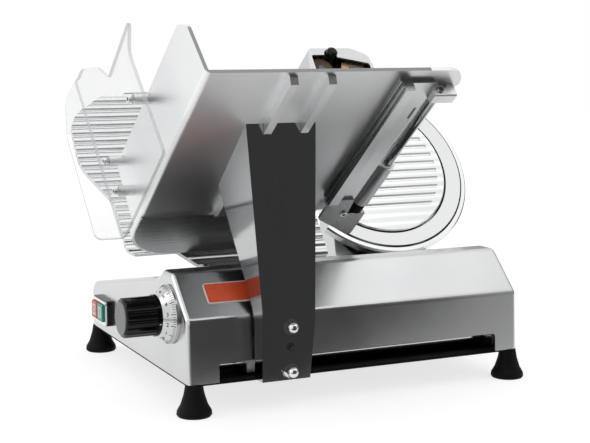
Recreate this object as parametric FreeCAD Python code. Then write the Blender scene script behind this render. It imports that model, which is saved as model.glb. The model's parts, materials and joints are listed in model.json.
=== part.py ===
import FreeCAD, Part
import math
import os

# Gravity-feed slicer with a hand-moved carriage, in millimetres.
# +X is the operator's right (the carriage side), +Y points away from the operator, +Z is up.
# The origin is on the table top, under the middle of the base.
#
# The blade, the thickness plate and the meat table are built in a "slope" frame, whose x runs up
# the meat table, y stays level and z stands square off the table. slope() turns it into place.

V = FreeCAD.Vector
AXIS_X = V(1, 0, 0)
AXIS_Y = V(0, 1, 0)
AXIS_Z = V(0, 0, 1)
CUT_PAST = 1.0          # how far a cutter runs past the face that it opens

# Driving sizes
BLADE_D = 250.0
BASE_L = 420.0          # along the carriage travel
BASE_W = 356.0
FOOT_H = 35.0
SLOPE = 38.0            # of the meat table above level

# Named clearances
RUN_FIT = 0.05          # radial, where one body turns or slides on another
FIXED_FIT = 0.03        # radial, where a shaft is held
SEAT_GAP = 0.3          # between bodies whose faces pass or roll
PANEL_GAP = 0.4         # round push buttons

# Base housing, seen from the operator: x and z of each corner, with its radius
WALL = 4.0
HALF_L = BASE_L / 2
HALF_W = BASE_W / 2
SIDE_DRAFT = 2.0
DECK_LEFT = (-HALF_W + SIDE_DRAFT, 91.0, 18.0)
DECK_RIGHT = (78.0, 138.0, 12.0)
HUMP_LEFT = (99.0, 149.5, 12.0)
HUMP_RIGHT = (126.0, 149.5, 9.0)
CHAMFER_LOW = (174.0, 104.5, 9.0)
END_ROUND = 6.0
DECK_RISE = (DECK_RIGHT[1] - DECK_LEFT[1]) / (DECK_RIGHT[0] - DECK_LEFT[0])
SLOT_TOP = 56.0
SLOT_Y = (-174.0, 179.0)
SLOT_DEPTH = 20.0
SLOT_R = 4.0
FLOOR_REACH = 50.0      # height up to which the housing's inside is straight walled
BOSS_R = 9.0
BOSS_TOP = 60.0

# Feet
FOOT_X = 171.0
FOOT_Y = 201.0
FOOT_PROFILE = ((18.0, 0.0), (19.5, 2.0), (19.0, 6.0), (15.0, 13.0), (11.5, 24.0), (9.5, FOOT_H))
FOOT_PEG_R = 4.0
FOOT_PEG_TOP = 52.0

# Bottom cover
PAN_T = 1.6
PAN_INSET = 4.0
PAN_BELLY_X = 160.0
PAN_BELLY_Y = 185.0
PAN_BELLY_TAPER = 14.0
PAN_DROP = 5.5
PAN_FOOT_R = 10.5

# Slide rod, guide rail and the carriage foot that runs on them
ROD_R = 8.0
ROD_X = 143.0
ROD_Z = 48.0
ROD_BLOCK_W = 27.0
ROD_BLOCK_T = 18.0
ROD_BLOCK_Z = (36.0, 62.0)
RAIL_X = (110.0, 124.0)
RAIL_Z = (36.5, 46.7)
ROLLER_R = 9.0
ROLLER_X = (112.0, 122.0)
AXLE_R = 4.0
AXLE_HEAD_R = 6.5
AXLE_HEAD_T = 3.0
ARM_MID_Y = -105.0
FOOT_BLOCK_X = (127.0, 159.0)
FOOT_BLOCK_Y = (-134.0, -76.0)
FOOT_BLOCK_Z = (37.5, 58.5)
BUSH_R = 10.5
BUSH_L = 14.0
TONGUE_Y = (-127.0, -83.0)
TONGUE_Z = (39.0, 53.0)
UPRIGHT_T = 10.0
UPRIGHT_TOP = 104.0

# Carriage arm
ARM_X = 202.0           # outer face
ARM_T = 3.0
ARM_STUD_Y = -101.0
ARM_STUD_Z = (46.0, 95.0)
ARM_HOLE_Z = 72.5
ARM_HOLE_R = 4.5
STUD_R = 4.0
STUD_REACH = 11.0
WASHER_R = 8.5
WASHER_T = 1.6
NUT_FLATS = 13.0
NUT_H = 6.0
DOME_R = 5.9
# flange edge toward the base: x and z
ARM_EDGE = ((181.0, 36.0), (181.0, 100.0), (161.0, 143.0), (131.0, 196.0), (107.0, 248.7))
ARM_BOTTOM = 36.0
# front and back edges: y and z
ARM_SIDE = ((-134.0, ARM_BOTTOM), (-77.0, ARM_BOTTOM), (-71.0, 99.0), (-71.0, 330.0),
            (-153.4, 330.0), (-134.0, 114.0))

# Meat table, in the slope frame
TABLE_N = 124.2         # underside
TABLE_T = 4.0
TABLE_LOW = 82.0
TABLE_TOP = 443.0
TABLE_WALL_Y = -223.5
TABLE_FAR_Y = 38.0
TABLE_NOTCH_S = 165.0
TABLE_NOTCH_Y = 3.0
TABLE_CORNER_R = 62.0
TABLE_BEND_R = 6.0
WALL_OUTLINE = ((151.0, TABLE_N, 0.0), (145.0, 213.0, 5.0), (409.0, 211.0, 14.0),
                (430.0, 194.0, 12.0), (TABLE_TOP, TABLE_N, 0.0))
RIB_Y = (-132.0, -89.0)
RIB_W = 9.0
RIB_H = 9.0
RIB_S = (165.0, 437.0)
RIB_SLANT = 14.0
LIP_T = 2.0
LIP_TOP = 171.0
LIP_INSET = 3.0
RAIL_STRIP_Y = (13.0, 40.0)
RAIL_STRIP_S = (172.0, 428.0)
RAIL_STRIP_T = 5.0

# Clear hand guard on the operator's side of the table: a sheet along the table's wall, bent out
# into a flange that keeps the hand from the blade
GUARD_T = 4.0
GUARD_OFF = 18.0
GUARD_OUTLINE = ((120.0, 101.0, 0.0), (340.0, 101.0, 5.0), (315.0, 247.0, 20.0), (340.0, 273.0, 3.0),
                 (240.0, 269.0, 7.0), (212.0, 305.0, 30.0), (160.0, 341.0, 36.0), (120.0, 343.0, 0.0))
GUARD_BEND = (166.0, 99.0)
GUARD_BEND_R = 7.0
GUARD_LEAN = 7.8        # degrees of the bend line off the square
# free edge of the flange: how far out from the sheet, and n
FLANGE_EDGE = ((31.5, 101.0, 8.0), (31.5, 250.0, 90.0), (20.5, 312.0, 50.0), (0.0, 344.0, 0.0))
STANDOFFS = ((289.0, 204.5), (169.0, 203.0), (179.0, 156.0))
STANDOFF_R = 6.0
GUARD_SCREW_R = 2.0
GUARD_SCREW_L = 12.0
GUARD_HEAD_R = 4.2
GUARD_HEAD_T = 2.6

# Pusher on its rod
PUSH_Y = 54.0
PUSH_N = 124.0
PUSH_ROD_R = 6.5
PUSH_ROD_S = (152.0, 434.0)
PUSH_BUSH_R = 8.0
PUSH_BUSH_S = (184.0, 266.0)
SLEEVE_R = 10.5
SLEEVE_S = (185.0, 265.0)
LOW_BLOCK_S = (150.0, 166.0)
BUFFER_R = 9.0
TOP_BLOCK_S = (404.0, 419.0)
BLOCK_Y = (40.0, 64.0)
LOW_BLOCK_TOP = 137.0
TOP_BLOCK_N = (116.0, 146.0)
GUSSET_T = 3.2
GUSSET = ((176.0, 6.0, 2.0), (198.0, 14.0, 3.0), (198.0, 38.0, 2.0), (166.0, 41.0, 2.0),
          (166.0, 66.0, 3.0), (110.0, 66.0, 4.0), (156.0, 6.0, 4.0))
END_KNOB_R = 14.0
END_KNOB_S = (421.0, 447.0)
PUSH_ARM_S = (205.0, 227.0)
PUSH_ARM_W = 16.0
PUSH_ARM_TOP = 213.0
PUSH_ARM_REACH = -92.0
PUSH_ARM_T = 14.0
PLATE_S = (112.0, 120.0)
PLATE_Y = (-170.0, 15.0)
PLATE_N = (131.5, 222.0)
PLATE_R = 14.0
TOOTH_PITCH = 12.0
TOOTH_H = 4.0
GRIP_R = 15.0
GRIP_STEM_R = 6.0
GRIP_STEM_L = 14.0

# Blade and what carries it, turned about an axis along the slope frame's x
HUB_Y = 156.0
HUB_N = 238.0
BLADE_S = 80.0          # plane of the cutting edge
BLADE_R = BLADE_D / 2
BLADE_BORE = 22.0
BLADE_T = 4.0           # at the hub
BLADE_BELL_R = 60.0     # where the back starts to dish
BLADE_DISH = 2.5        # how far the back stands forward at the rim
EDGE_W = 7.0            # ground bevel behind the cutting edge
EDGE_T = 3.4
EDGE_FALL = 2.8         # from the edge back to the dish, on the front
RIM_T = 5.2
COVER_R = 102.5
COVER_GAP = 0.7         # round the cover, inside the blade's dish
COVER_SKIRT = 3.5
COVER_FACE = 79.2
COVER_T = 3.0
COVER_BACK = 70.0
COVER_BOSS_R = 13.0
FLUTE_PITCH = 12.0
COVER_FLUTES = 11
COVER_FLUTE_PITCH = 12.7
COVER_RIM = 11.0        # plain band round the flutes
FLUTE_R = 4.0
FLUTE_DEPTH = 1.2
SPINDLE_R = 10.0
SPINDLE_BORE = 4.6
SPINDLE_S = (12.0, 68.0)
SPINDLE_FLANGE_R = 26.0
SPINDLE_FLANGE_T = 6.0
BEARING_R = 21.0
BEARING_S = ((34.5, 46.0), (46.5, 58.0))
PULLEY_R = 42.0
PULLEY_S = (36.0, 54.0)
PULLEY_GROOVES = 5
PULLEY_HUB_R = 27.0
NOSE_R = 14.0           # bore of the hub's nose, round the spindle
GROOVE_DEPTH = 1.8
HUB_FLANGE_R = 36.0
HUB_FLANGE_S = (56.0, 62.0)
BLADE_SCREW_R = 2.5
BLADE_SCREW_PCR = 29.0
BLADE_SCREWS = 4
SCREW_HEAD_R = 4.5
SCREW_HEAD_T = 2.2
SCREW_SEAT = 0.4        # the blade's front rises this much under the heads
SEAT_RISE = 2.0         # and this much out at the dish
TIE_ROD_R = 4.0
TIE_ROD_S = (-6.0, 76.0)
TIE_KNOB_R = 16.0
TIE_KNOB_S = (-16.0, 12.0)

# Knife housing, the casting on the deck that carries blade and motor
CASE_S = (12.0, 57.0)
CASE_R = 58.0
MOTOR_Y = 130.0
MOTOR_N = 150.0
MOTOR_CASE_R = 52.0
MOTOR_CASE_BACK = -62.0
MOTOR_CASE_ROUND = 12.0
CASE_WALL = 4.0
CASE_FOOT = ((64.0, 90.0, 0.0), (208.0, 90.0, 0.0), (181.0, 168.0, 0.0), (80.0, 168.0, 0.0))
POST_Y = (136.0, 176.0)
POST_S = (45.0, 57.0)
POST_TOP = 374.0
FLANGE_X = (-140.0, -36.0)
FLANGE_Y = (52.0, 222.0)
FLANGE_T = 8.0
FLANGE_R = 16.0
MOTOR_R = 38.0
MOTOR_S = (-50.0, 12.0)
MOTOR_PLATE_T = 4.0
SHAFT_R = 6.0
SHAFT_S = (0.0, 56.0)
MOTOR_PULLEY_R = 16.0
BELT_T = 2.5
BELT_GAP = 0.2

# Ring guard round the blade, r and s
RING_BORE = 56.0
RING_GAP = 2.5          # round the blade's edge
RING_W = 7.0
RING_T = 3.0
RING_FRONT = 1.5        # how far the ring stays behind the edge
RING_R = BLADE_R + RING_GAP
RING_OUT = RING_R + RING_W
RING_FACE = BLADE_S - RING_FRONT
RING_PROFILE = ((RING_BORE, CASE_S[1]), (RING_R - RING_GAP - 1.0, CASE_S[1]),
                (RING_OUT, BLADE_S - 12.0), (RING_OUT, RING_FACE - 2.0), (RING_OUT - 2.0, RING_FACE),
                (RING_R, RING_FACE), (RING_R, BLADE_S - 10.0), (BLADE_R - 4.0, CASE_S[1] + RING_T),
                (RING_BORE, CASE_S[1] + RING_T))
RING_FROM = -137.0      # degrees from +Y toward the top
RING_SWEEP = 237.0

# Slice deflector behind the open side of the blade
DEFLECT_R = 70.0
DEFLECT_T = 1.5
DEFLECT_N = (216.0, 300.0)
DEFLECT_SWEEP = 62.0
PAD_S = (22.0, 50.0)
PAD_Y = (91.0, 112.0)
PAD_N = (216.0, 262.0)

# Sharpener over the blade
SHARP_BODY_S = (48.0, 84.0)
SHARP_BODY_Y = (104.0, 180.0)
SHARP_BODY_TOP = 392.0
STONE_Y = (113.0, 161.0)
STONE_N = 383.0
STONE_R = 17.0
STONE_S = (88.0, 98.0)
PLUNGER_R = 5.0
PLUNGER_BUTTON_R = 9.0
PLUNGER_BUTTON_S = (28.0, 38.0)
LOCK_Y = 129.0
LOCK_N = 401.0
LOCK_R = 7.5
LOCK_STEM_R = 4.0
LOCK_S = (99.5, 116.0)
LOCK_BOSS = (120.0, 142.0)
LOCK_BOSS_BACK = 70.0
LOCK_STEM_BACK = 75.0
HOOD_S = (42.0, 106.0)
HOOD_T = 2.5
HOOD_Y = (90.0, 190.0)
HOOD_H = 38.0
HOOD_TOP = POST_TOP + HOOD_H
HOOD_OUTLINE = ((HOOD_Y[0], POST_TOP, 0.0), (98.0, HOOD_TOP, 6.0), (162.0, HOOD_TOP, 20.0),
                (186.0, HOOD_TOP - 12.0, 14.0), (HOOD_Y[1], POST_TOP, 0.0))
HOOD_WINDOW_TOP = HOOD_TOP - 11.0
HOOD_WINDOW = ((100.0, 0.0, 0.0), (100.0, HOOD_WINDOW_TOP, 3.0), (122.0, HOOD_WINDOW_TOP, 4.0),
               (184.0, HOOD_WINDOW_TOP - 15.0, 3.0),
               (184.0, 0.0, 0.0))

# Thickness plate and its carrier
GAUGE_S = (72.0, 78.0)
GAUGE_OUTLINE = ((48.0, 108.0, 3.0), (-128.0, 108.0, 3.0), (-150.0, 128.0, 6.0),
                 (-212.0, 128.0, 14.0), (-213.0, 200.0, 24.0), (-246.0, 256.0, 60.0),
                 (-246.0, 326.0, 44.0), (-199.0, 359.0, 14.0), (-172.0, 359.0, 2.0),
                 (-166.0, 363.5, 2.0), (48.0, 363.5, 12.0))
GAUGE_ARC_R = 131.0
GAUGE_FLUTES = 19
GAUGE_FLUTE_N = 132.0
GAUGE_TRAVEL = 12.0
LEG_Y = (-112.0, -68.0)
LEG_S = (60.0, 72.0)
LEG_N = (14.0, 116.0)
GUIDE_R = 6.0
GUIDE_Y = (-104.0, -76.0)
GUIDE_N = 58.0
GUIDE_S = (16.0, 101.0)
GUIDE_BLOCK_T = 8.0
GUIDE_BLOCK_Y = (-114.0, -66.0)
GUIDE_BLOCK_LOW = 48.0
LEG_SLOT_Y = (-116.0, -64.0)
LEG_SLOT_S = (44.0, 76.0)
LINK_Y = (24.0 - HALF_L, 34.0 - HALF_L)
LINK_N = (14.0, 25.0)
LINK_END = 152.0
LINK_LUG = 12.0

# Index knob, spiral cam and dial on the operator's face
INDEX_X = 120.0
INDEX_Z = 103.0
INDEX_TURN = 300.0      # degrees from the rest setting to full thickness
CAM_R = 31.5
CAM_IN = (12.0, 20.0)    # from the operator's face, to the cam's two sides
CAM_Y = (CAM_IN[0] - HALF_L, CAM_IN[1] - HALF_L)
CAM_HUB_R = 12.0
CAM_HUB_Y = CAM_Y[0] - 6.0
CAM_START_R = 14.0
PIN_R = 2.5
PIN_REACH = 8.0
CAM_GROOVE_W = 5.8
CAM_GROOVE_DEPTH = 5.0
CAM_CLOSING = 50.0      # degrees from the rest setting to the plate flush with the blade
CAM_OVERRUN = 20.0      # degrees past each end of the travel
CAM_STEPS = 24
SPINDLE_ROD_R = 6.0
SPINDLE_ROD_Y = (-HALF_L - 52.0, CAM_Y[1] - 1.0)
DIAL_R = 32.0
DIAL_FACE_R = 27.0
DIAL_T = 7.0
DIAL_EDGE_T = 3.0
KNOB_R = 22.0
KNOB_Y = (-HALF_L - 55.0, -HALF_L - 16.0)
KNOB_SKIRT_R = 23.2
KNOB_SKIRT_T = 3.0
KNOB_HUB_R = 11.0
KNOB_HUB_Y = -HALF_L - 8.0
KNOB_GRIPS = 18
KNOB_GRIP_R = 3.0
KNOB_GRIP_DEPTH = 0.9
KNOB_CAP_R = 18.5
KNOB_CAP_T = 1.5

# Switch on the operator's face
SWITCH_X = -120.0
SWITCH_Z = 63.0
SWITCH_W = 56.0
SWITCH_H = 32.0
SWITCH_FLANGE_T = 6.0
SWITCH_R = 4.0
SWITCH_BODY_W = 48.0
SWITCH_BODY_H = 25.0
SWITCH_BODY_DEPTH = 26.0
BUTTON_W = 20.0
BUTTON_H = 21.0
BUTTON_OUT = 5.0
BUTTON_DEPTH = 16.0
BUTTON_OFFSET = 11.5
BUTTON_STEM_R = 3.0
BUTTON_STEM_L = 8.0

# Cord inlet on the back
GLAND_X = -120.0
GLAND_Z = 66.0
GLAND_R = 8.0
GLAND_COLLAR_R = 12.0
GLAND_BORE_R = 4.0
GLAND_OUT = 12.0


def box(x, y, z):
    """Block between the two values given for each axis."""
    low = V(min(x), min(y), min(z))
    high = V(max(x), max(y), max(z))
    size = high - low
    return Part.makeBox(size.x, size.y, size.z, low)


def bar(radius, start, axis, length):
    return Part.makeCylinder(radius, length, start, axis)


def rounded_face(corners, place):
    """Face inside the corners (a, b, radius); place() lifts a flat point into space."""
    runs = []
    for i, (a, b, radius) in enumerate(corners):
        here = V(a, b, 0)
        if not radius:
            runs.append([here])
            continue
        back = V(corners[i - 1][0], corners[i - 1][1], 0) - here
        ahead = V(corners[(i + 1) % len(corners)][0], corners[(i + 1) % len(corners)][1], 0) - here
        back.normalize()
        ahead.normalize()
        half = back.getAngle(ahead) / 2
        toward = (back + ahead).normalize()
        reach = radius / math.tan(half)
        middle = here + toward * (radius / math.sin(half) - radius)
        runs.append([here + back * reach, middle, here + ahead * reach])
    edges = []
    for i, run in enumerate(runs):
        if len(run) > 1:
            edges.append(Part.Arc(*[place(p) for p in run]).toShape())
        end = runs[(i + 1) % len(runs)][0]
        if (end - run[-1]).Length > FIXED_FIT:
            edges.append(Part.makeLine(place(run[-1]), place(end)))
    return Part.Face(Part.Wire(edges))


def prism_x(corners, x):
    """Outline in y and z, filled between two x values."""
    return rounded_face(corners, lambda p: V(x[0], p.x, p.y)).extrude(V(x[1] - x[0], 0, 0))


def prism_y(corners, y):
    """Outline in x and z, filled between two y values."""
    return rounded_face(corners, lambda p: V(p.x, y[0], p.y)).extrude(V(0, y[1] - y[0], 0))


def prism_z(corners, z):
    """Outline in x and y, filled between two z values."""
    return rounded_face(corners, lambda p: V(p.x, p.y, z[0])).extrude(V(0, 0, z[1] - z[0]))


def sharp(points):
    return [(a, b, 0.0) for a, b in points]


def turned(profile, at, axis, start=0.0, sweep=360.0):
    """Profile of (radius, height) turned about an axis through a point."""
    points = [V(r, 0, h) for r, h in profile]
    face = Part.Face(Part.makePolygon(points + [points[0]]))
    face.rotate(V(), AXIS_Z, start)
    solid = face.revolve(V(), AXIS_Z, sweep)
    solid.Placement = FreeCAD.Placement(at, FreeCAD.Rotation(AXIS_Z, axis))
    return solid


def belt_face(centre_a, radius_a, centre_b, radius_b, s):
    """Face inside a band drawn round two circles in the y-z plane."""
    across = V(0, centre_b[0] - centre_a[0], centre_b[1] - centre_a[1])
    heading = math.atan2(across.z, across.y)
    spread = math.acos((radius_a - radius_b) / across.Length)

    def on(centre, radius, angle):
        return V(s, centre[0] + radius * math.cos(angle), centre[1] + radius * math.sin(angle))

    a_points = [on(centre_a, radius_a, heading + turn) for turn in (spread, math.pi, -spread)]
    b_points = [on(centre_b, radius_b, heading + turn) for turn in (-spread, 0, spread)]
    edges = [Part.Arc(*a_points).toShape(),
             Part.makeLine(a_points[2], b_points[0]),
             Part.Arc(*b_points).toShape(),
             Part.makeLine(b_points[2], a_points[0])]
    return Part.Face(Part.Wire(edges))


def slope(shape):
    """From the slope frame to the machine's own."""
    placed = shape.copy()
    placed.rotate(V(), AXIS_Y, -SLOPE)
    return placed


def save(name, *solids):
    shape = solids[0] if len(solids) == 1 else Part.makeCompound(list(solids))
    shape.exportStep(os.path.join("parts", name + ".step"))


def feet_places():
    return [(x, y) for x in (-FOOT_X, FOOT_X) for y in (-FOOT_Y, FOOT_Y)]


def deck_height(x, drop=0.0):
    """Height of the sloping deck, or of a surface a given thickness under it."""
    lean = math.hypot(1.0, DECK_RISE)
    return DECK_LEFT[1] + (x - DECK_LEFT[0]) * DECK_RISE - drop * lean


def below_deck(drop=0.0):
    """Everything lower than the deck, as a cutter."""
    far = BASE_W
    points = sharp(((-far, -far), (far, -far), (far, deck_height(far, drop)),
                    (-far, deck_height(-far, drop))))
    return prism_y(points, (-BASE_L, BASE_L))


def above_deck(drop=0.0):
    """Everything higher than the deck, as a cutter."""
    far = BASE_W
    points = sharp(((-far, deck_height(-far, drop)), (far, deck_height(far, drop)),
                    (far, 2 * far), (-far, 2 * far)))
    return prism_y(points, (-BASE_L, BASE_L))


# --- base ---------------------------------------------------------------------------------

def housing_face(y):
    corners = ((-HALF_W, FOOT_H, 0.0), DECK_LEFT, DECK_RIGHT, HUMP_LEFT, HUMP_RIGHT, CHAMFER_LOW,
               (HALF_W, FOOT_H, 0.0))
    return rounded_face(corners, lambda p: V(p.x, y, p.y))


def housing_outer():
    solid = housing_face(-HALF_L).extrude(V(0, BASE_L, 0))
    rims = [e for e in solid.Edges
            if e.BoundBox.YLength < FIXED_FIT and e.BoundBox.ZMax > FOOT_H + FIXED_FIT]
    return solid.makeFillet(END_ROUND, rims)


def housing_inner():
    depth = BASE_L - 2 * WALL
    face = housing_face(-HALF_L + WALL).makeOffset2D(-WALL)
    room = face.extrude(V(0, depth, 0))
    inside_w = HALF_W - WALL - SIDE_DRAFT / 4
    mouth = box((-inside_w, inside_w), (-HALF_L + WALL, HALF_L - WALL),
                (FOOT_H - CUT_PAST, FLOOR_REACH))
    return room.fuse(mouth).removeSplitter()


def base_housing():
    outer = housing_outer()
    body = outer.cut(housing_inner())
    for x, y in feet_places():
        boss = bar(BOSS_R, V(x, y, FOOT_H), AXIS_Z, BOSS_TOP - FOOT_H)
        body = body.fuse(boss.common(outer))
        body = body.cut(bar(FOOT_PEG_R + FIXED_FIT, V(x, y, FOOT_H - CUT_PAST), AXIS_Z,
                            FOOT_PEG_TOP - FOOT_H + 2 * CUT_PAST))
    slot = prism_x(((SLOT_Y[0], FOOT_H - CUT_PAST, 0.0), (SLOT_Y[1], FOOT_H - CUT_PAST, 0.0),
                    (SLOT_Y[1], SLOT_TOP, SLOT_R), (SLOT_Y[0], SLOT_TOP, SLOT_R)),
                   (HALF_W - SLOT_DEPTH, HALF_W + CUT_PAST))
    leg_slot = slope(box(LEG_SLOT_S, LEG_SLOT_Y, (GUIDE_N, TABLE_N)))
    motor_hole = slope(motor_bar(MOTOR_CASE_R - CASE_WALL, (MOTOR_S[0] - CUT_PAST, PULLEY_S[0])))
    spindle_hole = bar(SPINDLE_ROD_R + RUN_FIT, V(INDEX_X, -HALF_L - CUT_PAST, INDEX_Z), AXIS_Y,
                       WALL + 2 * CUT_PAST)
    switch_hole = switch_block(SWITCH_BODY_W + PANEL_GAP, SWITCH_BODY_H + PANEL_GAP,
                               (-HALF_L - CUT_PAST, -HALF_L + WALL + CUT_PAST))
    gland_hole = bar(GLAND_R + FIXED_FIT, V(GLAND_X, HALF_L - WALL - CUT_PAST, GLAND_Z), AXIS_Y,
                     WALL + 2 * CUT_PAST)
    return body.cut([slot, leg_slot, motor_hole, spindle_hole, switch_hole, gland_hole])


def foot(x, y):
    solid = turned(((0.0, 0.0),) + FOOT_PROFILE + ((0.0, FOOT_H),), V(x, y, 0), AXIS_Z)
    return solid.fuse(bar(FOOT_PEG_R, V(x, y, FOOT_H - CUT_PAST), AXIS_Z,
                          FOOT_PEG_TOP - FOOT_H + CUT_PAST))


def pan_wire(half_x, half_y, z):
    corners = [V(x * half_x, y * half_y, z) for x, y in ((-1, -1), (1, -1), (1, 1), (-1, 1))]
    return Part.makePolygon(corners + [corners[0]])


def pan_belly(inset):
    top = pan_wire(PAN_BELLY_X - inset, PAN_BELLY_Y - inset, FOOT_H - inset)
    low = pan_wire(PAN_BELLY_X - PAN_BELLY_TAPER - inset, PAN_BELLY_Y - PAN_BELLY_TAPER - inset,
                   FOOT_H - PAN_T - PAN_DROP + inset)
    return Part.makeLoft([low, top], True, True)


def bottom_cover():
    plate = box((-HALF_W + PAN_INSET, HALF_W - PAN_INSET), (-HALF_L + PAN_INSET, HALF_L - PAN_INSET),
                (FOOT_H - PAN_T, FOOT_H))
    hollow_top = pan_wire(PAN_BELLY_X - PAN_T, PAN_BELLY_Y - PAN_T, FOOT_H + CUT_PAST)
    hollow_low = pan_wire(PAN_BELLY_X - PAN_BELLY_TAPER - PAN_T, PAN_BELLY_Y - PAN_BELLY_TAPER - PAN_T,
                          FOOT_H - PAN_DROP)
    hollow = Part.makeLoft([hollow_low, hollow_top], True, True)
    pan = plate.fuse(pan_belly(0.0)).cut(hollow)
    for x, y in feet_places():
        pan = pan.cut(bar(PAN_FOOT_R, V(x, y, 0), AXIS_Z, FOOT_H + CUT_PAST))
    return pan


def slide_rod():
    length = BASE_L - 2 * WALL - 2 * CUT_PAST
    return bar(ROD_R, V(ROD_X, -length / 2, ROD_Z), AXIS_Y, length)


def rod_support(side):
    inner = HALF_L - WALL
    block = box((ROD_X - ROD_BLOCK_W / 2, ROD_X + ROD_BLOCK_W / 2),
                (side * inner, side * (inner - ROD_BLOCK_T)), ROD_BLOCK_Z)
    return block.cut(bar(ROD_R + FIXED_FIT, V(ROD_X, -HALF_L, ROD_Z), AXIS_Y, BASE_L))


def guide_rail():
    return box(RAIL_X, (-HALF_L + WALL, HALF_L - WALL), RAIL_Z)


def cord_gland():
    at = V(GLAND_X, HALF_L - WALL - CUT_PAST, GLAND_Z)
    body = bar(GLAND_R, at, AXIS_Y, WALL + 2 * CUT_PAST)
    collar = turned(((0.0, 0.0), (GLAND_COLLAR_R, 0.0), (GLAND_COLLAR_R, WALL),
                     (GLAND_R - CUT_PAST, GLAND_OUT), (0.0, GLAND_OUT)),
                    V(GLAND_X, HALF_L, GLAND_Z), AXIS_Y)
    return body.fuse(collar).cut(bar(GLAND_BORE_R, at - AXIS_Y * CUT_PAST, AXIS_Y, GLAND_OUT + 2 * WALL))


# --- knife housing, motor and blade -------------------------------------------------------

HUB = (HUB_Y, HUB_N)
MOTOR = (MOTOR_Y, MOTOR_N)


def hub_turned(profile, start=0.0, sweep=360.0):
    return turned(profile, V(0, HUB_Y, HUB_N), AXIS_X, start, sweep)


def hub_bar(radius, s):
    return bar(radius, V(s[0], HUB_Y, HUB_N), AXIS_X, s[1] - s[0])


def motor_bar(radius, s):
    return bar(radius, V(s[0], MOTOR_Y, MOTOR_N), AXIS_X, s[1] - s[0])


def knife_housing():
    depth = CASE_S[1] - CASE_S[0]
    case = belt_face(HUB, CASE_R, MOTOR, MOTOR_CASE_R, CASE_S[0]).extrude(V(depth, 0, 0))
    case = case.fuse(prism_x(CASE_FOOT, CASE_S))
    motor_case = motor_bar(MOTOR_CASE_R, (MOTOR_CASE_BACK, CASE_S[1]))
    back_edge = [e for e in motor_case.Edges
                 if e.BoundBox.XMax < MOTOR_CASE_BACK + FIXED_FIT]
    motor_case = motor_case.makeFillet(MOTOR_CASE_ROUND, back_edge)
    post = box(POST_S, POST_Y, (HUB_N, POST_TOP))
    pad = box(PAD_S, PAD_Y, PAD_N)
    flange = prism_z(((FLANGE_X[0], FLANGE_Y[0], FLANGE_R), (FLANGE_X[1], FLANGE_Y[0], FLANGE_R),
                      (FLANGE_X[1], FLANGE_Y[1], FLANGE_R), (FLANGE_X[0], FLANGE_Y[1], FLANGE_R)),
                     (-FLANGE_T, 2 * BASE_W))
    flange = flange.cut([above_deck(-FLANGE_T)])
    room = belt_face(HUB, CASE_R - CASE_WALL, MOTOR, MOTOR_CASE_R - CASE_WALL,
                     CASE_S[0] + CASE_WALL).extrude(V(depth, 0, 0))
    motor_room = motor_bar(MOTOR_CASE_R - CASE_WALL, (MOTOR_CASE_BACK + CASE_WALL, CASE_S[1]))
    spindle_hole = hub_bar(SPINDLE_R + FIXED_FIT, (CASE_S[0] - CUT_PAST, CASE_S[1]))
    body = slope(case.fuse([motor_case, post, pad])).fuse(flange)
    body = body.cut([slope(room), slope(motor_room), slope(spindle_hole), below_deck()])
    return body.removeSplitter()


def blade_ring_guard():
    return slope(hub_turned(RING_PROFILE, *ring_span()))


def ring_span():
    """Start and sweep of the ring in the turned() frame, where angles run from -Z through +Y."""
    return 90.0 + RING_FROM, RING_SWEEP


def blade():
    seat = HUB_FLANGE_S[1]
    bore = BLADE_BORE + FIXED_FIT
    dish = COVER_R + COVER_GAP
    rim = COVER_R + BLADE_DISH
    profile = ((bore, seat), (bore, seat + BLADE_T), (dish, seat + BLADE_T + SEAT_RISE),
               (rim, BLADE_S - EDGE_FALL), (BLADE_R, BLADE_S), (BLADE_R - EDGE_W, BLADE_S - EDGE_T),
               (rim + BLADE_DISH, BLADE_S - RIM_T), (rim, seat + BLADE_DISH), (BLADE_BELL_R, seat))
    solid = hub_turned(profile)
    holes = blade_screw_bars(BLADE_SCREW_R + FIXED_FIT, (seat - CUT_PAST, seat + 2 * BLADE_T))
    return slope(solid.cut(holes))


def blade_screw_bars(radius, s):
    bars = []
    for i in range(BLADE_SCREWS):
        turn = 2 * math.pi * (i + 0.5) / BLADE_SCREWS
        at = V(s[0], HUB_Y + BLADE_SCREW_PCR * math.cos(turn), HUB_N + BLADE_SCREW_PCR * math.sin(turn))
        bars.append(bar(radius, at, AXIS_X, s[1] - s[0]))
    return bars


def blade_screws():
    under_head = HUB_FLANGE_S[1] + BLADE_T + SCREW_SEAT
    shanks = blade_screw_bars(BLADE_SCREW_R, (HUB_FLANGE_S[0] + 2 * CUT_PAST, under_head))
    heads = blade_screw_bars(SCREW_HEAD_R, (under_head, under_head + SCREW_HEAD_T))
    return [slope(shank.fuse(head)) for shank, head in zip(shanks, heads)]


def grooved(radius, s, inner_radius):
    """Pulley rim with rounded-off ribs, as (radius, height) points from the back to the front."""
    pitch = (s[1] - s[0]) / (PULLEY_GROOVES + 1)
    points = [(inner_radius, s[0]), (radius, s[0])]
    for i in range(PULLEY_GROOVES):
        middle = s[0] + pitch * (i + 1)
        points += [(radius, middle - pitch / 2), (radius - GROOVE_DEPTH, middle),
                   (radius, middle + pitch / 2)]
    return points + [(radius, s[1]), (inner_radius, s[1])]


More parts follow.
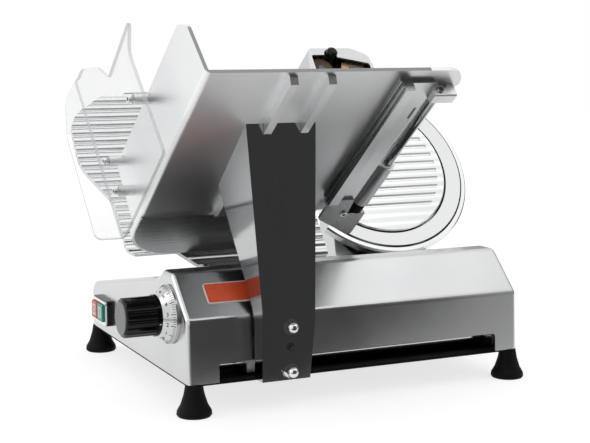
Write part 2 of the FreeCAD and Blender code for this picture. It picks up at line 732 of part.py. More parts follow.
def blade_pulley():
    rim = hub_turned(grooved(PULLEY_R, PULLEY_S, BEARING_R))
    back, front = BEARING_S[0][0], BEARING_S[1][1]
    nose = HUB_FLANGE_S[1] + BLADE_T
    hub = hub_turned(((BEARING_R - CUT_PAST, back), (PULLEY_HUB_R, back), (PULLEY_HUB_R, HUB_FLANGE_S[0]),
                      (HUB_FLANGE_R, HUB_FLANGE_S[0]), (HUB_FLANGE_R, HUB_FLANGE_S[1]),
                      (BLADE_BORE, HUB_FLANGE_S[1]), (BLADE_BORE, nose), (NOSE_R, nose), (NOSE_R, front),
                      (BEARING_R - CUT_PAST, front)))
    bore = hub_bar(BEARING_R + FIXED_FIT, (BEARING_S[0][0] - CUT_PAST, BEARING_S[1][1]))
    holes = blade_screw_bars(BLADE_SCREW_R + FIXED_FIT,
                             (HUB_FLANGE_S[0] + CUT_PAST, HUB_FLANGE_S[1] + CUT_PAST))
    return slope(rim.fuse(hub).cut([bore] + holes))


def spindle_bearing(s):
    ring = hub_bar(BEARING_R, s).cut(hub_bar(SPINDLE_R + RUN_FIT, (s[0] - CUT_PAST, s[1] + CUT_PAST)))
    return slope(ring)


def blade_spindle():
    flange_at = CASE_S[0] + CASE_WALL
    solid = hub_bar(SPINDLE_R, SPINDLE_S).fuse(
        hub_bar(SPINDLE_FLANGE_R, (flange_at, flange_at + SPINDLE_FLANGE_T)))
    return slope(solid.cut(hub_bar(SPINDLE_BORE, (SPINDLE_S[0] - CUT_PAST, SPINDLE_S[1] + CUT_PAST))))


def flutes(face_s, first_n, count, pitch, y):
    """Shallow level grooves in a face square to the slope."""
    centre = face_s + FLUTE_R - FLUTE_DEPTH
    return [bar(FLUTE_R, V(centre, y[0], first_n + i * pitch), AXIS_Y, y[1] - y[0])
            for i in range(count)]


def blade_cover():
    inside = COVER_FACE - COVER_T
    disc = hub_turned(((0.0, COVER_BACK), (COVER_BOSS_R, COVER_BACK - 2.0), (COVER_BOSS_R, inside),
                       (COVER_R - COVER_SKIRT - 1.0, inside), (COVER_R - COVER_SKIRT, COVER_BACK),
                       (COVER_R, COVER_BACK),
                       (COVER_R, COVER_FACE - 1.5), (COVER_R - 1.5, COVER_FACE), (0.0, COVER_FACE)))
    first = HUB_N - (COVER_FLUTES - 1) * COVER_FLUTE_PITCH / 2
    field = hub_bar(COVER_R - COVER_RIM, (COVER_BACK, COVER_FACE + FLUTE_R))
    grooves = [groove.common(field) for groove in flutes(COVER_FACE, first, COVER_FLUTES, COVER_FLUTE_PITCH,
                                                         (HUB_Y - COVER_R, HUB_Y + COVER_R))]
    bore = hub_bar(TIE_ROD_R + FIXED_FIT, (COVER_BACK - 2 * WALL, TIE_ROD_S[1] + FIXED_FIT))
    return slope(disc.cut(grooves + [bore]))


def tie_rod():
    return slope(hub_bar(TIE_ROD_R, TIE_ROD_S))


def tie_rod_knob():
    back, front = TIE_KNOB_S
    knob = hub_turned(((0.0, back), (TIE_KNOB_R - 3.0, back), (TIE_KNOB_R, back + 3.0),
                       (TIE_KNOB_R, back + 12.0), (9.0, back + 15.0), (9.0, front), (0.0, front)))
    return slope(knob.cut(hub_bar(TIE_ROD_R + FIXED_FIT, (TIE_ROD_S[0], front + CUT_PAST))))


def motor_body():
    plate_r = MOTOR_CASE_R - CASE_WALL - FIXED_FIT
    plate = motor_bar(plate_r, (MOTOR_S[1], MOTOR_S[1] + MOTOR_PLATE_T))
    can = motor_bar(MOTOR_R, MOTOR_S)
    ends = [e for e in can.Edges if e.BoundBox.XMax < MOTOR_S[0] + FIXED_FIT]
    can = can.makeFillet(END_ROUND, ends)
    bore = motor_bar(SHAFT_R + RUN_FIT, (SHAFT_S[0] - CUT_PAST, CASE_S[1]))
    return slope(can.fuse(plate).cut(bore))


def motor_pulley():
    rim = turned(grooved(MOTOR_PULLEY_R, PULLEY_S, 0.0), V(0, MOTOR_Y, MOTOR_N), AXIS_X)
    return slope(rim.fuse(motor_bar(SHAFT_R, SHAFT_S)))


def drive_belt():
    width = PULLEY_S[1] - PULLEY_S[0] - 2 * CUT_PAST
    s = PULLEY_S[0] + CUT_PAST
    outer = belt_face(HUB, PULLEY_R + BELT_GAP + BELT_T, MOTOR, MOTOR_PULLEY_R + BELT_GAP + BELT_T, s)
    inner = belt_face(HUB, PULLEY_R + BELT_GAP, MOTOR, MOTOR_PULLEY_R + BELT_GAP, s)
    return slope(outer.cut(inner).extrude(V(width, 0, 0)))


def slice_deflector():
    """Curved sheet that throws slices clear, rooted on the housing's pad."""
    root = V(PAD_S[1], PAD_Y[0] - DEFLECT_R, DEFLECT_N[0])
    sheet = Part.makeCylinder(DEFLECT_R, DEFLECT_N[1] - DEFLECT_N[0], root, AXIS_Z, DEFLECT_SWEEP)
    hollow = Part.makeCylinder(DEFLECT_R - DEFLECT_T, DEFLECT_N[1] - DEFLECT_N[0] + 2 * CUT_PAST,
                               root - AXIS_Z * CUT_PAST, AXIS_Z)
    sheet = sheet.cut(hollow)
    sheet.rotate(root, AXIS_Z, 90.0)
    tab = box(PAD_S, (PAD_Y[0] - DEFLECT_T, PAD_Y[0]), PAD_N)
    return slope(sheet.fuse(tab).removeSplitter())


# --- sharpener ----------------------------------------------------------------------------

def stone_bar(i, radius, s):
    return bar(radius, V(s[0], STONE_Y[i], STONE_N), AXIS_X, s[1] - s[0])


def sharpener_body():
    block = box(SHARP_BODY_S, SHARP_BODY_Y, (POST_TOP, SHARP_BODY_TOP))
    boss = box((LOCK_BOSS_BACK, SHARP_BODY_S[1]), LOCK_BOSS, (POST_TOP, HOOD_TOP - HOOD_T))
    bores = [stone_bar(i, PLUNGER_R + RUN_FIT, (0.0, 2 * SHARP_BODY_S[1])) for i in (0, 1)]
    lock_hole = bar(LOCK_STEM_R + RUN_FIT, V(LOCK_STEM_BACK - CUT_PAST, LOCK_Y, LOCK_N), AXIS_X, SHARP_BODY_S[1])
    return slope(block.fuse(boss).cut(bores + [lock_hole]))


def sharpener_hood():
    shell = prism_x(HOOD_OUTLINE, HOOD_S)
    inner_face = rounded_face(HOOD_OUTLINE, lambda p: V(HOOD_S[0] + HOOD_T, p.x, p.y)).makeOffset2D(-HOOD_T)
    room = inner_face.extrude(V(HOOD_S[1] - HOOD_S[0] - 2 * HOOD_T, 0, 0))
    mouth = box((HOOD_S[0] + HOOD_T, HOOD_S[1] - HOOD_T), (HOOD_Y[0] + 2 * HOOD_T, HOOD_Y[1] - 2 * HOOD_T),
                (POST_TOP - CUT_PAST, POST_TOP + 2 * HOOD_T))
    window = prism_x(HOOD_WINDOW, (HOOD_S[1] - HOOD_T - CUT_PAST, HOOD_S[1] + CUT_PAST))
    lock_gap = bar(LOCK_R + 2 * CUT_PAST, V(HOOD_S[1] - 2 * HOOD_T, LOCK_Y, LOCK_N), AXIS_X, 4 * HOOD_T)
    gaps = [stone_bar(i, PLUNGER_R + CUT_PAST, (HOOD_S[0] - CUT_PAST, HOOD_S[0] + HOOD_T + CUT_PAST))
            for i in (0, 1)]
    post_gap = box((HOOD_S[0] - CUT_PAST, HOOD_S[0] + 2 * HOOD_T), POST_Y, (POST_TOP - CUT_PAST, POST_TOP))
    return slope(shell.cut([room, mouth, window, lock_gap, post_gap] + gaps))


def stone(i):
    return slope(stone_bar(i, STONE_R, STONE_S).cut(stone_bar(i, PLUNGER_R + FIXED_FIT, (0.0, 2 * STONE_S[1]))))


def plunger(i):
    shaft = stone_bar(i, PLUNGER_R, (PLUNGER_BUTTON_S[1] - CUT_PAST, STONE_S[1] + 2.0))
    return slope(shaft.fuse(stone_bar(i, PLUNGER_BUTTON_R, PLUNGER_BUTTON_S)))


def lock_knob():
    head = turned(((0.0, LOCK_S[0]), (LOCK_R - 2.0, LOCK_S[0]), (LOCK_R, LOCK_S[0] + 4.0),
                   (LOCK_R, LOCK_S[1] - 3.0), (LOCK_R - 3.0, LOCK_S[1]), (0.0, LOCK_S[1])),
                  V(0, LOCK_Y, LOCK_N), AXIS_X)
    stem = bar(LOCK_STEM_R, V(LOCK_STEM_BACK, LOCK_Y, LOCK_N), AXIS_X, LOCK_S[0] + CUT_PAST - LOCK_STEM_BACK)
    return slope(head.fuse(stem))


# --- thickness plate and index ------------------------------------------------------------

def gauge_plate():
    plate = prism_x(GAUGE_OUTLINE, GAUGE_S)
    around_blade = hub_bar(GAUGE_ARC_R, (GAUGE_S[0] - CUT_PAST, GAUGE_S[1] + CUT_PAST))
    grooves = flutes(GAUGE_S[1], GAUGE_FLUTE_N, GAUGE_FLUTES, FLUTE_PITCH, (-BASE_L, BASE_L))
    return slope(plate.cut([around_blade] + grooves))


def gauge_carrier():
    """Leg through the deck, guided on two rods, with the follower that the spiral cam drives."""
    leg = box(LEG_S, LEG_Y, LEG_N)
    foot_bar = box(LEG_S, (LINK_Y[0], LEG_Y[1]), LINK_N)
    link = box((LEG_S[0], LINK_END), LINK_Y, LINK_N)
    lug_s = cam_pin_s()
    lug = box((lug_s - LINK_LUG / 2, lug_s + LINK_LUG / 2), LINK_Y, (index_n() - LINK_LUG / 2, LINK_N[1]))
    pin = bar(PIN_R, V(lug_s, LINK_Y[0] - PIN_REACH, index_n()), AXIS_Y, PIN_REACH + CUT_PAST)
    bores = [bar(GUIDE_R + RUN_FIT, V(LEG_S[0] - CUT_PAST, y, GUIDE_N), AXIS_X, LEG_S[1] - LEG_S[0] + 2 * CUT_PAST)
             for y in GUIDE_Y]
    return slope(leg.fuse([foot_bar, link, lug, pin]).cut(bores).removeSplitter())


def gauge_guide_rod(y):
    return slope(bar(GUIDE_R, V(GUIDE_S[0], y, GUIDE_N), AXIS_X, GUIDE_S[1] - GUIDE_S[0]))


def gauge_guide_block(s):
    block = box((s, s + GUIDE_BLOCK_T), GUIDE_BLOCK_Y, (GUIDE_BLOCK_LOW, HUB_N))
    bores = [bar(GUIDE_R + FIXED_FIT, V(s - CUT_PAST, y, GUIDE_N), AXIS_X, GUIDE_BLOCK_T + 2 * CUT_PAST)
             for y in GUIDE_Y]
    return slope(block.cut(bores)).cut(above_deck(WALL))


def index_s():
    lean = math.radians(SLOPE)
    return INDEX_X * math.cos(lean) + INDEX_Z * math.sin(lean)


def index_n():
    lean = math.radians(SLOPE)
    return INDEX_Z * math.cos(lean) - INDEX_X * math.sin(lean)


def cam_pin_s():
    return index_s() - CAM_START_R


def cam_groove():
    """Spiral slot: its radius grows by the plate's travel over the knob's full turn."""
    gain = GAUGE_TRAVEL / INDEX_TURN
    first = -CAM_CLOSING - CAM_OVERRUN
    span = INDEX_TURN + CAM_OVERRUN - first

    def edge(offset):
        points = []
        for i in range(CAM_STEPS + 1):
            turn = first + span * i / CAM_STEPS
            radius = CAM_START_R + gain * turn + offset
            angle = math.radians(180.0 - turn)
            points.append(V(index_s() + radius * math.cos(angle), CAM_Y[1] - CAM_GROOVE_DEPTH,
                            index_n() + radius * math.sin(angle)))
        curve = Part.BSplineCurve()
        curve.interpolate(points)
        return points, curve.toShape()

    inner, inner_edge = edge(-CAM_GROOVE_W / 2)
    outer, outer_edge = edge(CAM_GROOVE_W / 2)
    wire = Part.Wire(Part.__sortEdges__([inner_edge, Part.makeLine(inner[-1], outer[-1]), outer_edge,
                                         Part.makeLine(outer[0], inner[0])]))
    return slope(Part.Face(wire).extrude(V(0, CAM_GROOVE_DEPTH + CUT_PAST, 0)))


def index_bar(radius, y):
    return bar(radius, V(INDEX_X, y[0], INDEX_Z), AXIS_Y, y[1] - y[0])


def index_cam():
    body = index_bar(CAM_R, CAM_Y).fuse(index_bar(CAM_HUB_R, (CAM_HUB_Y, CAM_Y[0])))
    return body.cut([index_bar(SPINDLE_ROD_R + FIXED_FIT, (CAM_HUB_Y - CUT_PAST, SPINDLE_ROD_Y[1] + FIXED_FIT)),
                     cam_groove()])


def index_spindle():
    return index_bar(SPINDLE_ROD_R, SPINDLE_ROD_Y)


def index_turned(profile):
    """Profile of (radius, distance out from the operator's face)."""
    return turned(profile, V(INDEX_X, -HALF_L, INDEX_Z), -AXIS_Y)


def dial_ring():
    ring = index_turned(((0.0, 0.0), (DIAL_R, 0.0), (DIAL_R, DIAL_EDGE_T), (DIAL_FACE_R, DIAL_T), (0.0, DIAL_T)))
    return ring.cut(index_bar(SPINDLE_ROD_R + RUN_FIT, (-HALF_L - DIAL_T - CUT_PAST, -HALF_L + CUT_PAST)))


def index_knob():
    hub_out = -HALF_L - KNOB_HUB_Y
    back = -HALF_L - KNOB_Y[1]
    front = -HALF_L - KNOB_Y[0]
    body = index_turned(((0.0, hub_out), (KNOB_HUB_R, hub_out), (KNOB_HUB_R, back), (KNOB_SKIRT_R, back),
                         (KNOB_SKIRT_R, back + KNOB_SKIRT_T), (KNOB_R, back + KNOB_SKIRT_T),
                         (KNOB_R, front - 1.5), (KNOB_R - 1.5, front), (0.0, front)))
    grips = []
    for i in range(KNOB_GRIPS):
        turn = 2 * math.pi * i / KNOB_GRIPS
        reach = KNOB_R + KNOB_GRIP_R - KNOB_GRIP_DEPTH
        at = V(INDEX_X + reach * math.cos(turn), KNOB_Y[0] - CUT_PAST, INDEX_Z + reach * math.sin(turn))
        grips.append(bar(KNOB_GRIP_R, at, AXIS_Y, KNOB_Y[1] - KNOB_Y[0] - KNOB_SKIRT_T))
    bore = index_bar(SPINDLE_ROD_R + FIXED_FIT, (SPINDLE_ROD_Y[0] - FIXED_FIT, KNOB_HUB_Y + CUT_PAST))
    return body.cut(grips + [bore])


def knob_cap():
    return index_bar(KNOB_CAP_R, (KNOB_Y[0] - KNOB_CAP_T, KNOB_Y[0]))


# --- switch -------------------------------------------------------------------------------

def switch_block(width, height, y, shift=0.0):
    middle = SWITCH_X + shift
    return box((middle - width / 2, middle + width / 2), y, (SWITCH_Z - height / 2, SWITCH_Z + height / 2))


def switch_housing():
    front = -HALF_L - SWITCH_FLANGE_T
    half_w = SWITCH_W / 2
    half_h = SWITCH_H / 2
    flange = prism_y([(SWITCH_X + x * half_w, SWITCH_Z + z * half_h, SWITCH_R)
                      for x, z in ((-1, -1), (1, -1), (1, 1), (-1, 1))], (front, -HALF_L))
    body = switch_block(SWITCH_BODY_W, SWITCH_BODY_H, (-HALF_L - CUT_PAST, -HALF_L + SWITCH_BODY_DEPTH))
    pockets = []
    for side in (-1, 1):
        pockets.append(switch_block(BUTTON_W + 2 * PANEL_GAP, BUTTON_H + 2 * PANEL_GAP,
                                    (front - CUT_PAST, -HALF_L + BUTTON_DEPTH), side * BUTTON_OFFSET))
        stem_at = V(SWITCH_X + side * BUTTON_OFFSET, -HALF_L, SWITCH_Z)
        pockets.append(bar(BUTTON_STEM_R + RUN_FIT, stem_at, AXIS_Y, SWITCH_BODY_DEPTH + CUT_PAST))
    return flange.fuse(body).cut(pockets)


def push_button(side):
    front = -HALF_L - SWITCH_FLANGE_T - BUTTON_OUT
    back = -HALF_L + BUTTON_DEPTH - 2 * BUTTON_OUT
    cap = switch_block(BUTTON_W, BUTTON_H, (front, back), side * BUTTON_OFFSET)
    stem = bar(BUTTON_STEM_R, V(SWITCH_X + side * BUTTON_OFFSET, back - CUT_PAST, SWITCH_Z), AXIS_Y,
               -HALF_L + BUTTON_DEPTH - back + BUTTON_STEM_L)
    return cap.fuse(stem)


# --- carriage -----------------------------------------------------------------------------

def table_underside(x):
    """Height of the meat table's underside over a given x."""
    lean = math.radians(SLOPE)
    return (TABLE_N + x * math.sin(lean)) / math.cos(lean)


def arm_body(skin):
    """The arm's filled form; skin takes that much off the faces that carry metal."""
    face_x = ARM_X - skin
    side = [(y - math.copysign(skin, y - ARM_MID_Y), z, 0.0) for y, z in ARM_SIDE]
    edge = ARM_EDGE if not skin else tuple((x - 2 * ARM_T, z) for x, z in ARM_EDGE)
    outline = [(x, z, 0.0) for x, z in edge[:-1]]
    top_x = edge[-1][0]
    if skin:
        outline += [(top_x, table_underside(top_x) + ARM_T, 0.0), (face_x, table_underside(face_x) + ARM_T, 0.0),
                    (face_x, ARM_BOTTOM - CUT_PAST, 0.0), (edge[0][0], ARM_BOTTOM - CUT_PAST, 0.0)]
    else:
        outline += [(top_x, table_underside(top_x), 0.0), (face_x, table_underside(face_x), 0.0),
                    (face_x, ARM_BOTTOM, 0.0)]
    if skin:
        side = [(y, z - 2 * CUT_PAST if z == ARM_BOTTOM else z, 0.0) for y, z, _ in side]
        outline = outline[1:]
    return prism_y(outline, (-BASE_L / 2, 0.0)).common(prism_x(side, (0.0, face_x)))


def carriage_arm():
    arm = arm_body(0.0).cut(arm_body(ARM_T))
    cutters = [slope(box((RIB_S[0] - CUT_PAST, RIB_S[1]), (y - SEAT_GAP, y + RIB_W + SEAT_GAP),
                         (TABLE_N - RIB_H - SEAT_GAP, TABLE_N + CUT_PAST))) for y in RIB_Y]
    for z in ARM_STUD_Z:
        cutters.append(bar(STUD_R + 2 * SEAT_GAP, V(ARM_X - 2 * ARM_T, ARM_STUD_Y, z), AXIS_X, 4 * ARM_T))
    cutters.append(bar(ARM_HOLE_R, V(ARM_X - 2 * ARM_T, ARM_STUD_Y, ARM_HOLE_Z), AXIS_X, 4 * ARM_T))
    return arm.cut(cutters)


def carriage_foot():
    """Block on the slide rod, with the tongue that leaves the base by its side slot."""
    inner_face = ARM_X - ARM_T
    block = box(FOOT_BLOCK_X, FOOT_BLOCK_Y, FOOT_BLOCK_Z)
    tongue = box((FOOT_BLOCK_X[1] - CUT_PAST, inner_face), TONGUE_Y, TONGUE_Z)
    upright = box((inner_face - UPRIGHT_T, inner_face), TONGUE_Y, (TONGUE_Z[0], UPRIGHT_TOP))
    through = FOOT_BLOCK_Y[1] - FOOT_BLOCK_Y[0] + 2 * CUT_PAST
    start = V(ROD_X, FOOT_BLOCK_Y[0] - CUT_PAST, ROD_Z)
    cutters = [bar(ROD_R + SEAT_GAP, start, AXIS_Y, through)]
    for y in bush_starts():
        cutters.append(bar(BUSH_R + FIXED_FIT, V(ROD_X, y - CUT_PAST / 2, ROD_Z), AXIS_Y, BUSH_L + CUT_PAST / 2))
    for z in ARM_STUD_Z:
        cutters.append(bar(STUD_R + FIXED_FIT, V(inner_face - UPRIGHT_T - CUT_PAST, ARM_STUD_Y, z), AXIS_X,
                           UPRIGHT_T + 2 * CUT_PAST))
    cutters.append(bar(AXLE_R + FIXED_FIT, V(FOOT_BLOCK_X[0] - CUT_PAST, ARM_MID_Y, roller_z()), AXIS_X,
                       CUT_PAST + 4.0))
    return block.fuse([tongue, upright]).removeSplitter().cut(cutters)


def bush_starts():
    return (FOOT_BLOCK_Y[0], FOOT_BLOCK_Y[1] - BUSH_L)


def slide_bushing(y):
    tube = bar(BUSH_R, V(ROD_X, y, ROD_Z), AXIS_Y, BUSH_L)
    return tube.cut(bar(ROD_R + RUN_FIT, V(ROD_X, y - CUT_PAST, ROD_Z), AXIS_Y, BUSH_L + 2 * CUT_PAST))


def roller_z():
    return RAIL_Z[1] + SEAT_GAP + ROLLER_R


def carriage_roller():
    wheel = bar(ROLLER_R, V(ROLLER_X[0], ARM_MID_Y, roller_z()), AXIS_X, ROLLER_X[1] - ROLLER_X[0])
    return wheel.cut(bar(AXLE_R + RUN_FIT, V(ROLLER_X[0] - CUT_PAST, ARM_MID_Y, roller_z()), AXIS_X,
                         ROLLER_X[1] - ROLLER_X[0] + 2 * CUT_PAST))


def roller_axle():
    head_end = ROLLER_X[0] - SEAT_GAP
    head = bar(AXLE_HEAD_R, V(head_end - AXLE_HEAD_T, ARM_MID_Y, roller_z()), AXIS_X, AXLE_HEAD_T)
    shank = bar(AXLE_R, V(head_end, ARM_MID_Y, roller_z()), AXIS_X, FOOT_BLOCK_X[0] + 4.0 - head_end)
    return head.fuse(shank)


def arm_fasteners(z):
    """Stud, washer and dome nut at one height."""
    at = V(ARM_X, ARM_STUD_Y, z)
    stud = bar(STUD_R, at - AXIS_X * (ARM_T + UPRIGHT_T), AXIS_X, ARM_T + UPRIGHT_T + STUD_REACH)
    washer = bar(WASHER_R, at, AXIS_X, WASHER_T).cut(
        bar(STUD_R + FIXED_FIT, at - AXIS_X * CUT_PAST, AXIS_X, WASHER_T + 2 * CUT_PAST))
    corner = NUT_FLATS / math.sqrt(3)
    seat = at + AXIS_X * WASHER_T
    hexagon = Part.makePolygon([seat + V(0, corner * math.cos(i * math.pi / 3), corner * math.sin(i * math.pi / 3))
                                for i in range(7)])
    nut = Part.Face(hexagon).extrude(AXIS_X * NUT_H)
    dome = Part.makeSphere(DOME_R, seat + AXIS_X * NUT_H)
    dome = dome.fuse(bar(DOME_R, seat, AXIS_X, NUT_H))
    nut = nut.fuse(dome.common(bar(2 * DOME_R, seat, AXIS_X, 4 * DOME_R)))
    nut = nut.cut(bar(STUD_R + FIXED_FIT, seat - AXIS_X * CUT_PAST, AXIS_X, CUT_PAST + STUD_REACH - WASHER_T + FIXED_FIT))
    return [stud, washer, nut]


def floor_outline(inset):
    return ((TABLE_LOW + inset, TABLE_NOTCH_Y - inset, 3.0), (TABLE_NOTCH_S, TABLE_NOTCH_Y - inset, 0.0),
            (TABLE_NOTCH_S, TABLE_FAR_Y, 3.0), (TABLE_TOP - 12.0, TABLE_FAR_Y, 3.0),
            (TABLE_TOP, TABLE_FAR_Y - 7.0, 4.0), (TABLE_TOP, TABLE_WALL_Y + inset, 0.0),
            (TABLE_LOW + inset, TABLE_WALL_Y + inset, TABLE_CORNER_R))


def rib(y):
    """Stiffening rail under the table, its ends cut on a slant."""
    low, high = RIB_S
    points = ((low, TABLE_N + FIXED_FIT, 0.0), (low + RIB_SLANT, TABLE_N - RIB_H, 0.0),
              (high - RIB_SLANT / 4, TABLE_N - RIB_H, 0.0), (high, TABLE_N + FIXED_FIT, 0.0))
    return prism_y(points, (y, y + RIB_W))


def meat_table():
    floor = prism_z(floor_outline(0.0), (TABLE_N, TABLE_N + TABLE_T))
    wall = prism_y(WALL_OUTLINE, (TABLE_WALL_Y, TABLE_WALL_Y + TABLE_T))
    body = floor.fuse([wall] + [rib(y) for y in RIB_Y])
    corner = box((0.0, TABLE_TOP + CUT_PAST), (TABLE_WALL_Y - CUT_PAST, TABLE_WALL_Y + TABLE_BEND_R),
                 (TABLE_N - CUT_PAST, TABLE_N + TABLE_BEND_R))
    bend = bar(TABLE_BEND_R, V(-CUT_PAST, TABLE_WALL_Y + TABLE_BEND_R, TABLE_N + TABLE_BEND_R), AXIS_X,
               TABLE_TOP + 3 * CUT_PAST)
    return slope(body.cut(corner.cut(bend)).removeSplitter())


def table_lip():
    low = TABLE_LOW + LIP_INSET
    near = TABLE_WALL_Y + LIP_INSET
    corners = ((low, TABLE_NOTCH_Y - LIP_INSET, 3.0), (LIP_TOP - 8.0, TABLE_NOTCH_Y - LIP_INSET, 2.0),
               (LIP_TOP, TABLE_NOTCH_Y - 3 * LIP_INSET, 2.0), (LIP_TOP, near, 2.0), (low, near, TABLE_CORNER_R))
    lip = prism_z(corners, (TABLE_N - LIP_T, TABLE_N))
    clear = [box((RIB_S[0] - 2 * CUT_PAST, LIP_TOP + CUT_PAST), (y - SEAT_GAP, y + RIB_W + SEAT_GAP),
                 (TABLE_N - RIB_H, TABLE_N + CUT_PAST)) for y in RIB_Y]
    return slope(lip.cut(clear))


def rod_rail():
    return slope(box(RAIL_STRIP_S, RAIL_STRIP_Y, (TABLE_N - RAIL_STRIP_T, TABLE_N)))


def guard_y():
    return TABLE_WALL_Y - GUARD_OFF


def along_y(place, radius, y):
    """Bar across the machine through a point of the slope frame."""
    return bar(radius, V(place[0], y[0], place[1]), AXIS_Y, y[1] - y[0])


def clear_guard():
    outer = guard_y() - GUARD_T
    s, n = GUARD_BEND
    far = 2 * TABLE_TOP
    reach = outer - 2 * FLANGE_EDGE[0][0]
    angle = prism_z(((s, guard_y(), GUARD_BEND_R), (far, guard_y(), 0.0), (far, outer, 0.0),
                     (s + GUARD_T, outer, GUARD_BEND_R - GUARD_T), (s + GUARD_T, reach, 0.0), (s, reach, 0.0)),
                    (n - TABLE_N, far))
    angle.rotate(V(s, 0, n), AXIS_Y, -GUARD_LEAN)
    free_edge = [(outer - out, high, radius) for out, high, radius in FLANGE_EDGE]
    flange = prism_x(free_edge + [(outer, far, 0.0), (guard_y(), far, 0.0), (guard_y(), GUARD_OUTLINE[0][1], 0.0)],
                     (0.0, far))
    sheet = angle.common(prism_y(GUARD_OUTLINE, (reach, guard_y()))).common(flange)
    holes = [along_y(place, GUARD_SCREW_R + 2 * RUN_FIT, (guard_y() - 2 * GUARD_T, guard_y() + GUARD_T))
             for place in STANDOFFS]
    return slope(sheet.cut(holes))


def guard_standoff(place):
    post = along_y(place, STANDOFF_R, (guard_y(), TABLE_WALL_Y))
    hole = along_y(place, GUARD_SCREW_R + FIXED_FIT, (guard_y() - CUT_PAST, guard_y() + GUARD_SCREW_L))
    return slope(post.cut(hole))


def guard_screw(place):
    front = guard_y() - GUARD_T
    head = along_y(place, GUARD_HEAD_R, (front - GUARD_HEAD_T, front))
    return slope(head.fuse(along_y(place, GUARD_SCREW_R, (front, guard_y() + GUARD_SCREW_L - CUT_PAST))))


def push_bar(radius, s):
    return bar(radius, V(s[0], PUSH_Y, PUSH_N), AXIS_X, s[1] - s[0])


def low_rod_bracket():
    under = TABLE_N - RAIL_STRIP_T
    gusset = prism_z(GUSSET, (under - GUSSET_T, under))
    block = box(LOW_BLOCK_S, BLOCK_Y, (under - GUSSET_T, LOW_BLOCK_TOP))
    return slope(gusset.fuse(block).cut(push_bar(PUSH_ROD_R + FIXED_FIT, (PUSH_ROD_S[0], 2 * PUSH_ROD_S[0]))))


def top_rod_bracket():
    block = prism_x(((BLOCK_Y[0], TOP_BLOCK_N[0], 0.0), (BLOCK_Y[1], TOP_BLOCK_N[0], 8.0),
                     (BLOCK_Y[1], TOP_BLOCK_N[1], 8.0), (BLOCK_Y[0], TOP_BLOCK_N[1], 0.0)), TOP_BLOCK_S)
    return slope(block.cut(push_bar(PUSH_ROD_R + FIXED_FIT, (0.0, 2 * TOP_BLOCK_S[1]))))


def rod_end_knob():
    back, front = END_KNOB_S
    knob = turned(((0.0, back), (END_KNOB_R - 2.0, back), (END_KNOB_R, back + 2.0), (END_KNOB_R, front - 10.0),
                   (END_KNOB_R - 2.0, front - 5.0), (END_KNOB_R - 6.0, front - 1.5), (0.0, front)),
                  V(0, PUSH_Y, PUSH_N), AXIS_X)
    return slope(knob.cut(push_bar(PUSH_ROD_R + FIXED_FIT, (0.0, PUSH_ROD_S[1] + FIXED_FIT))))


def pusher_rod():
    return slope(push_bar(PUSH_ROD_R, PUSH_ROD_S))


def pusher_buffer():
    """Ring under the sleeve, on which the pusher comes to rest."""
    span = (LOW_BLOCK_S[1], PUSH_BUSH_S[0] - SEAT_GAP)
    return slope(push_bar(BUFFER_R, span).cut(push_bar(PUSH_ROD_R + FIXED_FIT, PUSH_ROD_S)))


def pusher_bushing():
    return slope(push_bar(PUSH_BUSH_R, PUSH_BUSH_S).cut(push_bar(PUSH_ROD_R + RUN_FIT, (0.0, 2 * PUSH_BUSH_S[1]))))


def pusher_arm():
    """Sleeve on the rod, with the arm that reaches over the table to the pusher plate."""
    low_n = PUSH_N
    half = PUSH_ARM_W / 2
    web = prism_x(((PUSH_Y - half, low_n, 0.0), (PUSH_Y + half, low_n, 0.0),
                   (PUSH_Y + half, PUSH_ARM_TOP, 26.0), (PUSH_ARM_REACH, PUSH_ARM_TOP, 4.0),
                   (PUSH_ARM_REACH, PUSH_ARM_TOP - PUSH_ARM_T, 0.0),
                   (PUSH_Y - half, PUSH_ARM_TOP - PUSH_ARM_T, 12.0)), PUSH_ARM_S)
    fore = box((PLATE_S[1], PUSH_ARM_S[1]), (PUSH_ARM_REACH, PUSH_ARM_REACH + 30.0),
               (PUSH_ARM_TOP - PUSH_ARM_T, PUSH_ARM_TOP))
    sleeve = push_bar(SLEEVE_R, SLEEVE_S)
    bore = push_bar(PUSH_BUSH_R + RUN_FIT, (SLEEVE_S[0] - CUT_PAST, SLEEVE_S[1] + CUT_PAST))
    return slope(web.fuse([fore, sleeve]).removeSplitter().cut(bore))


def pusher_plate():
    corners = [(PLATE_Y[0], PLATE_N[0], 3.0), (PLATE_Y[1], PLATE_N[0], 3.0), (PLATE_Y[1], PLATE_N[1], PLATE_R),
               (PLATE_Y[0], PLATE_N[1], PLATE_R)]
    plate = prism_x(corners, PLATE_S)
    teeth = []
    rows = int((PLATE_N[1] - PLATE_N[0]) / TOOTH_PITCH) - 1
    for i in range(rows):
        n = PLATE_N[0] + TOOTH_PITCH * (i + 1)
        points = ((PLATE_S[0] + FIXED_FIT, n, 0.0), (PLATE_S[0] - TOOTH_H, n, 0.0),
                  (PLATE_S[0] + FIXED_FIT, n + TOOTH_PITCH / 2, 0.0))
        teeth.append(prism_y(points, (PLATE_Y[0] + PLATE_R, PLATE_Y[1] - PLATE_R)))
    return slope(plate.fuse(teeth).removeSplitter())


def pusher_grip():
    at = V((PUSH_ARM_S[0] + PUSH_ARM_S[1]) / 2, PUSH_ARM_REACH + 15.0, PUSH_ARM_TOP)
    stem = bar(GRIP_STEM_R, at, AXIS_Z, GRIP_STEM_L)
    return slope(stem.fuse(Part.makeSphere(GRIP_R, at + AXIS_Z * (GRIP_STEM_L + GRIP_R - 2.0))))


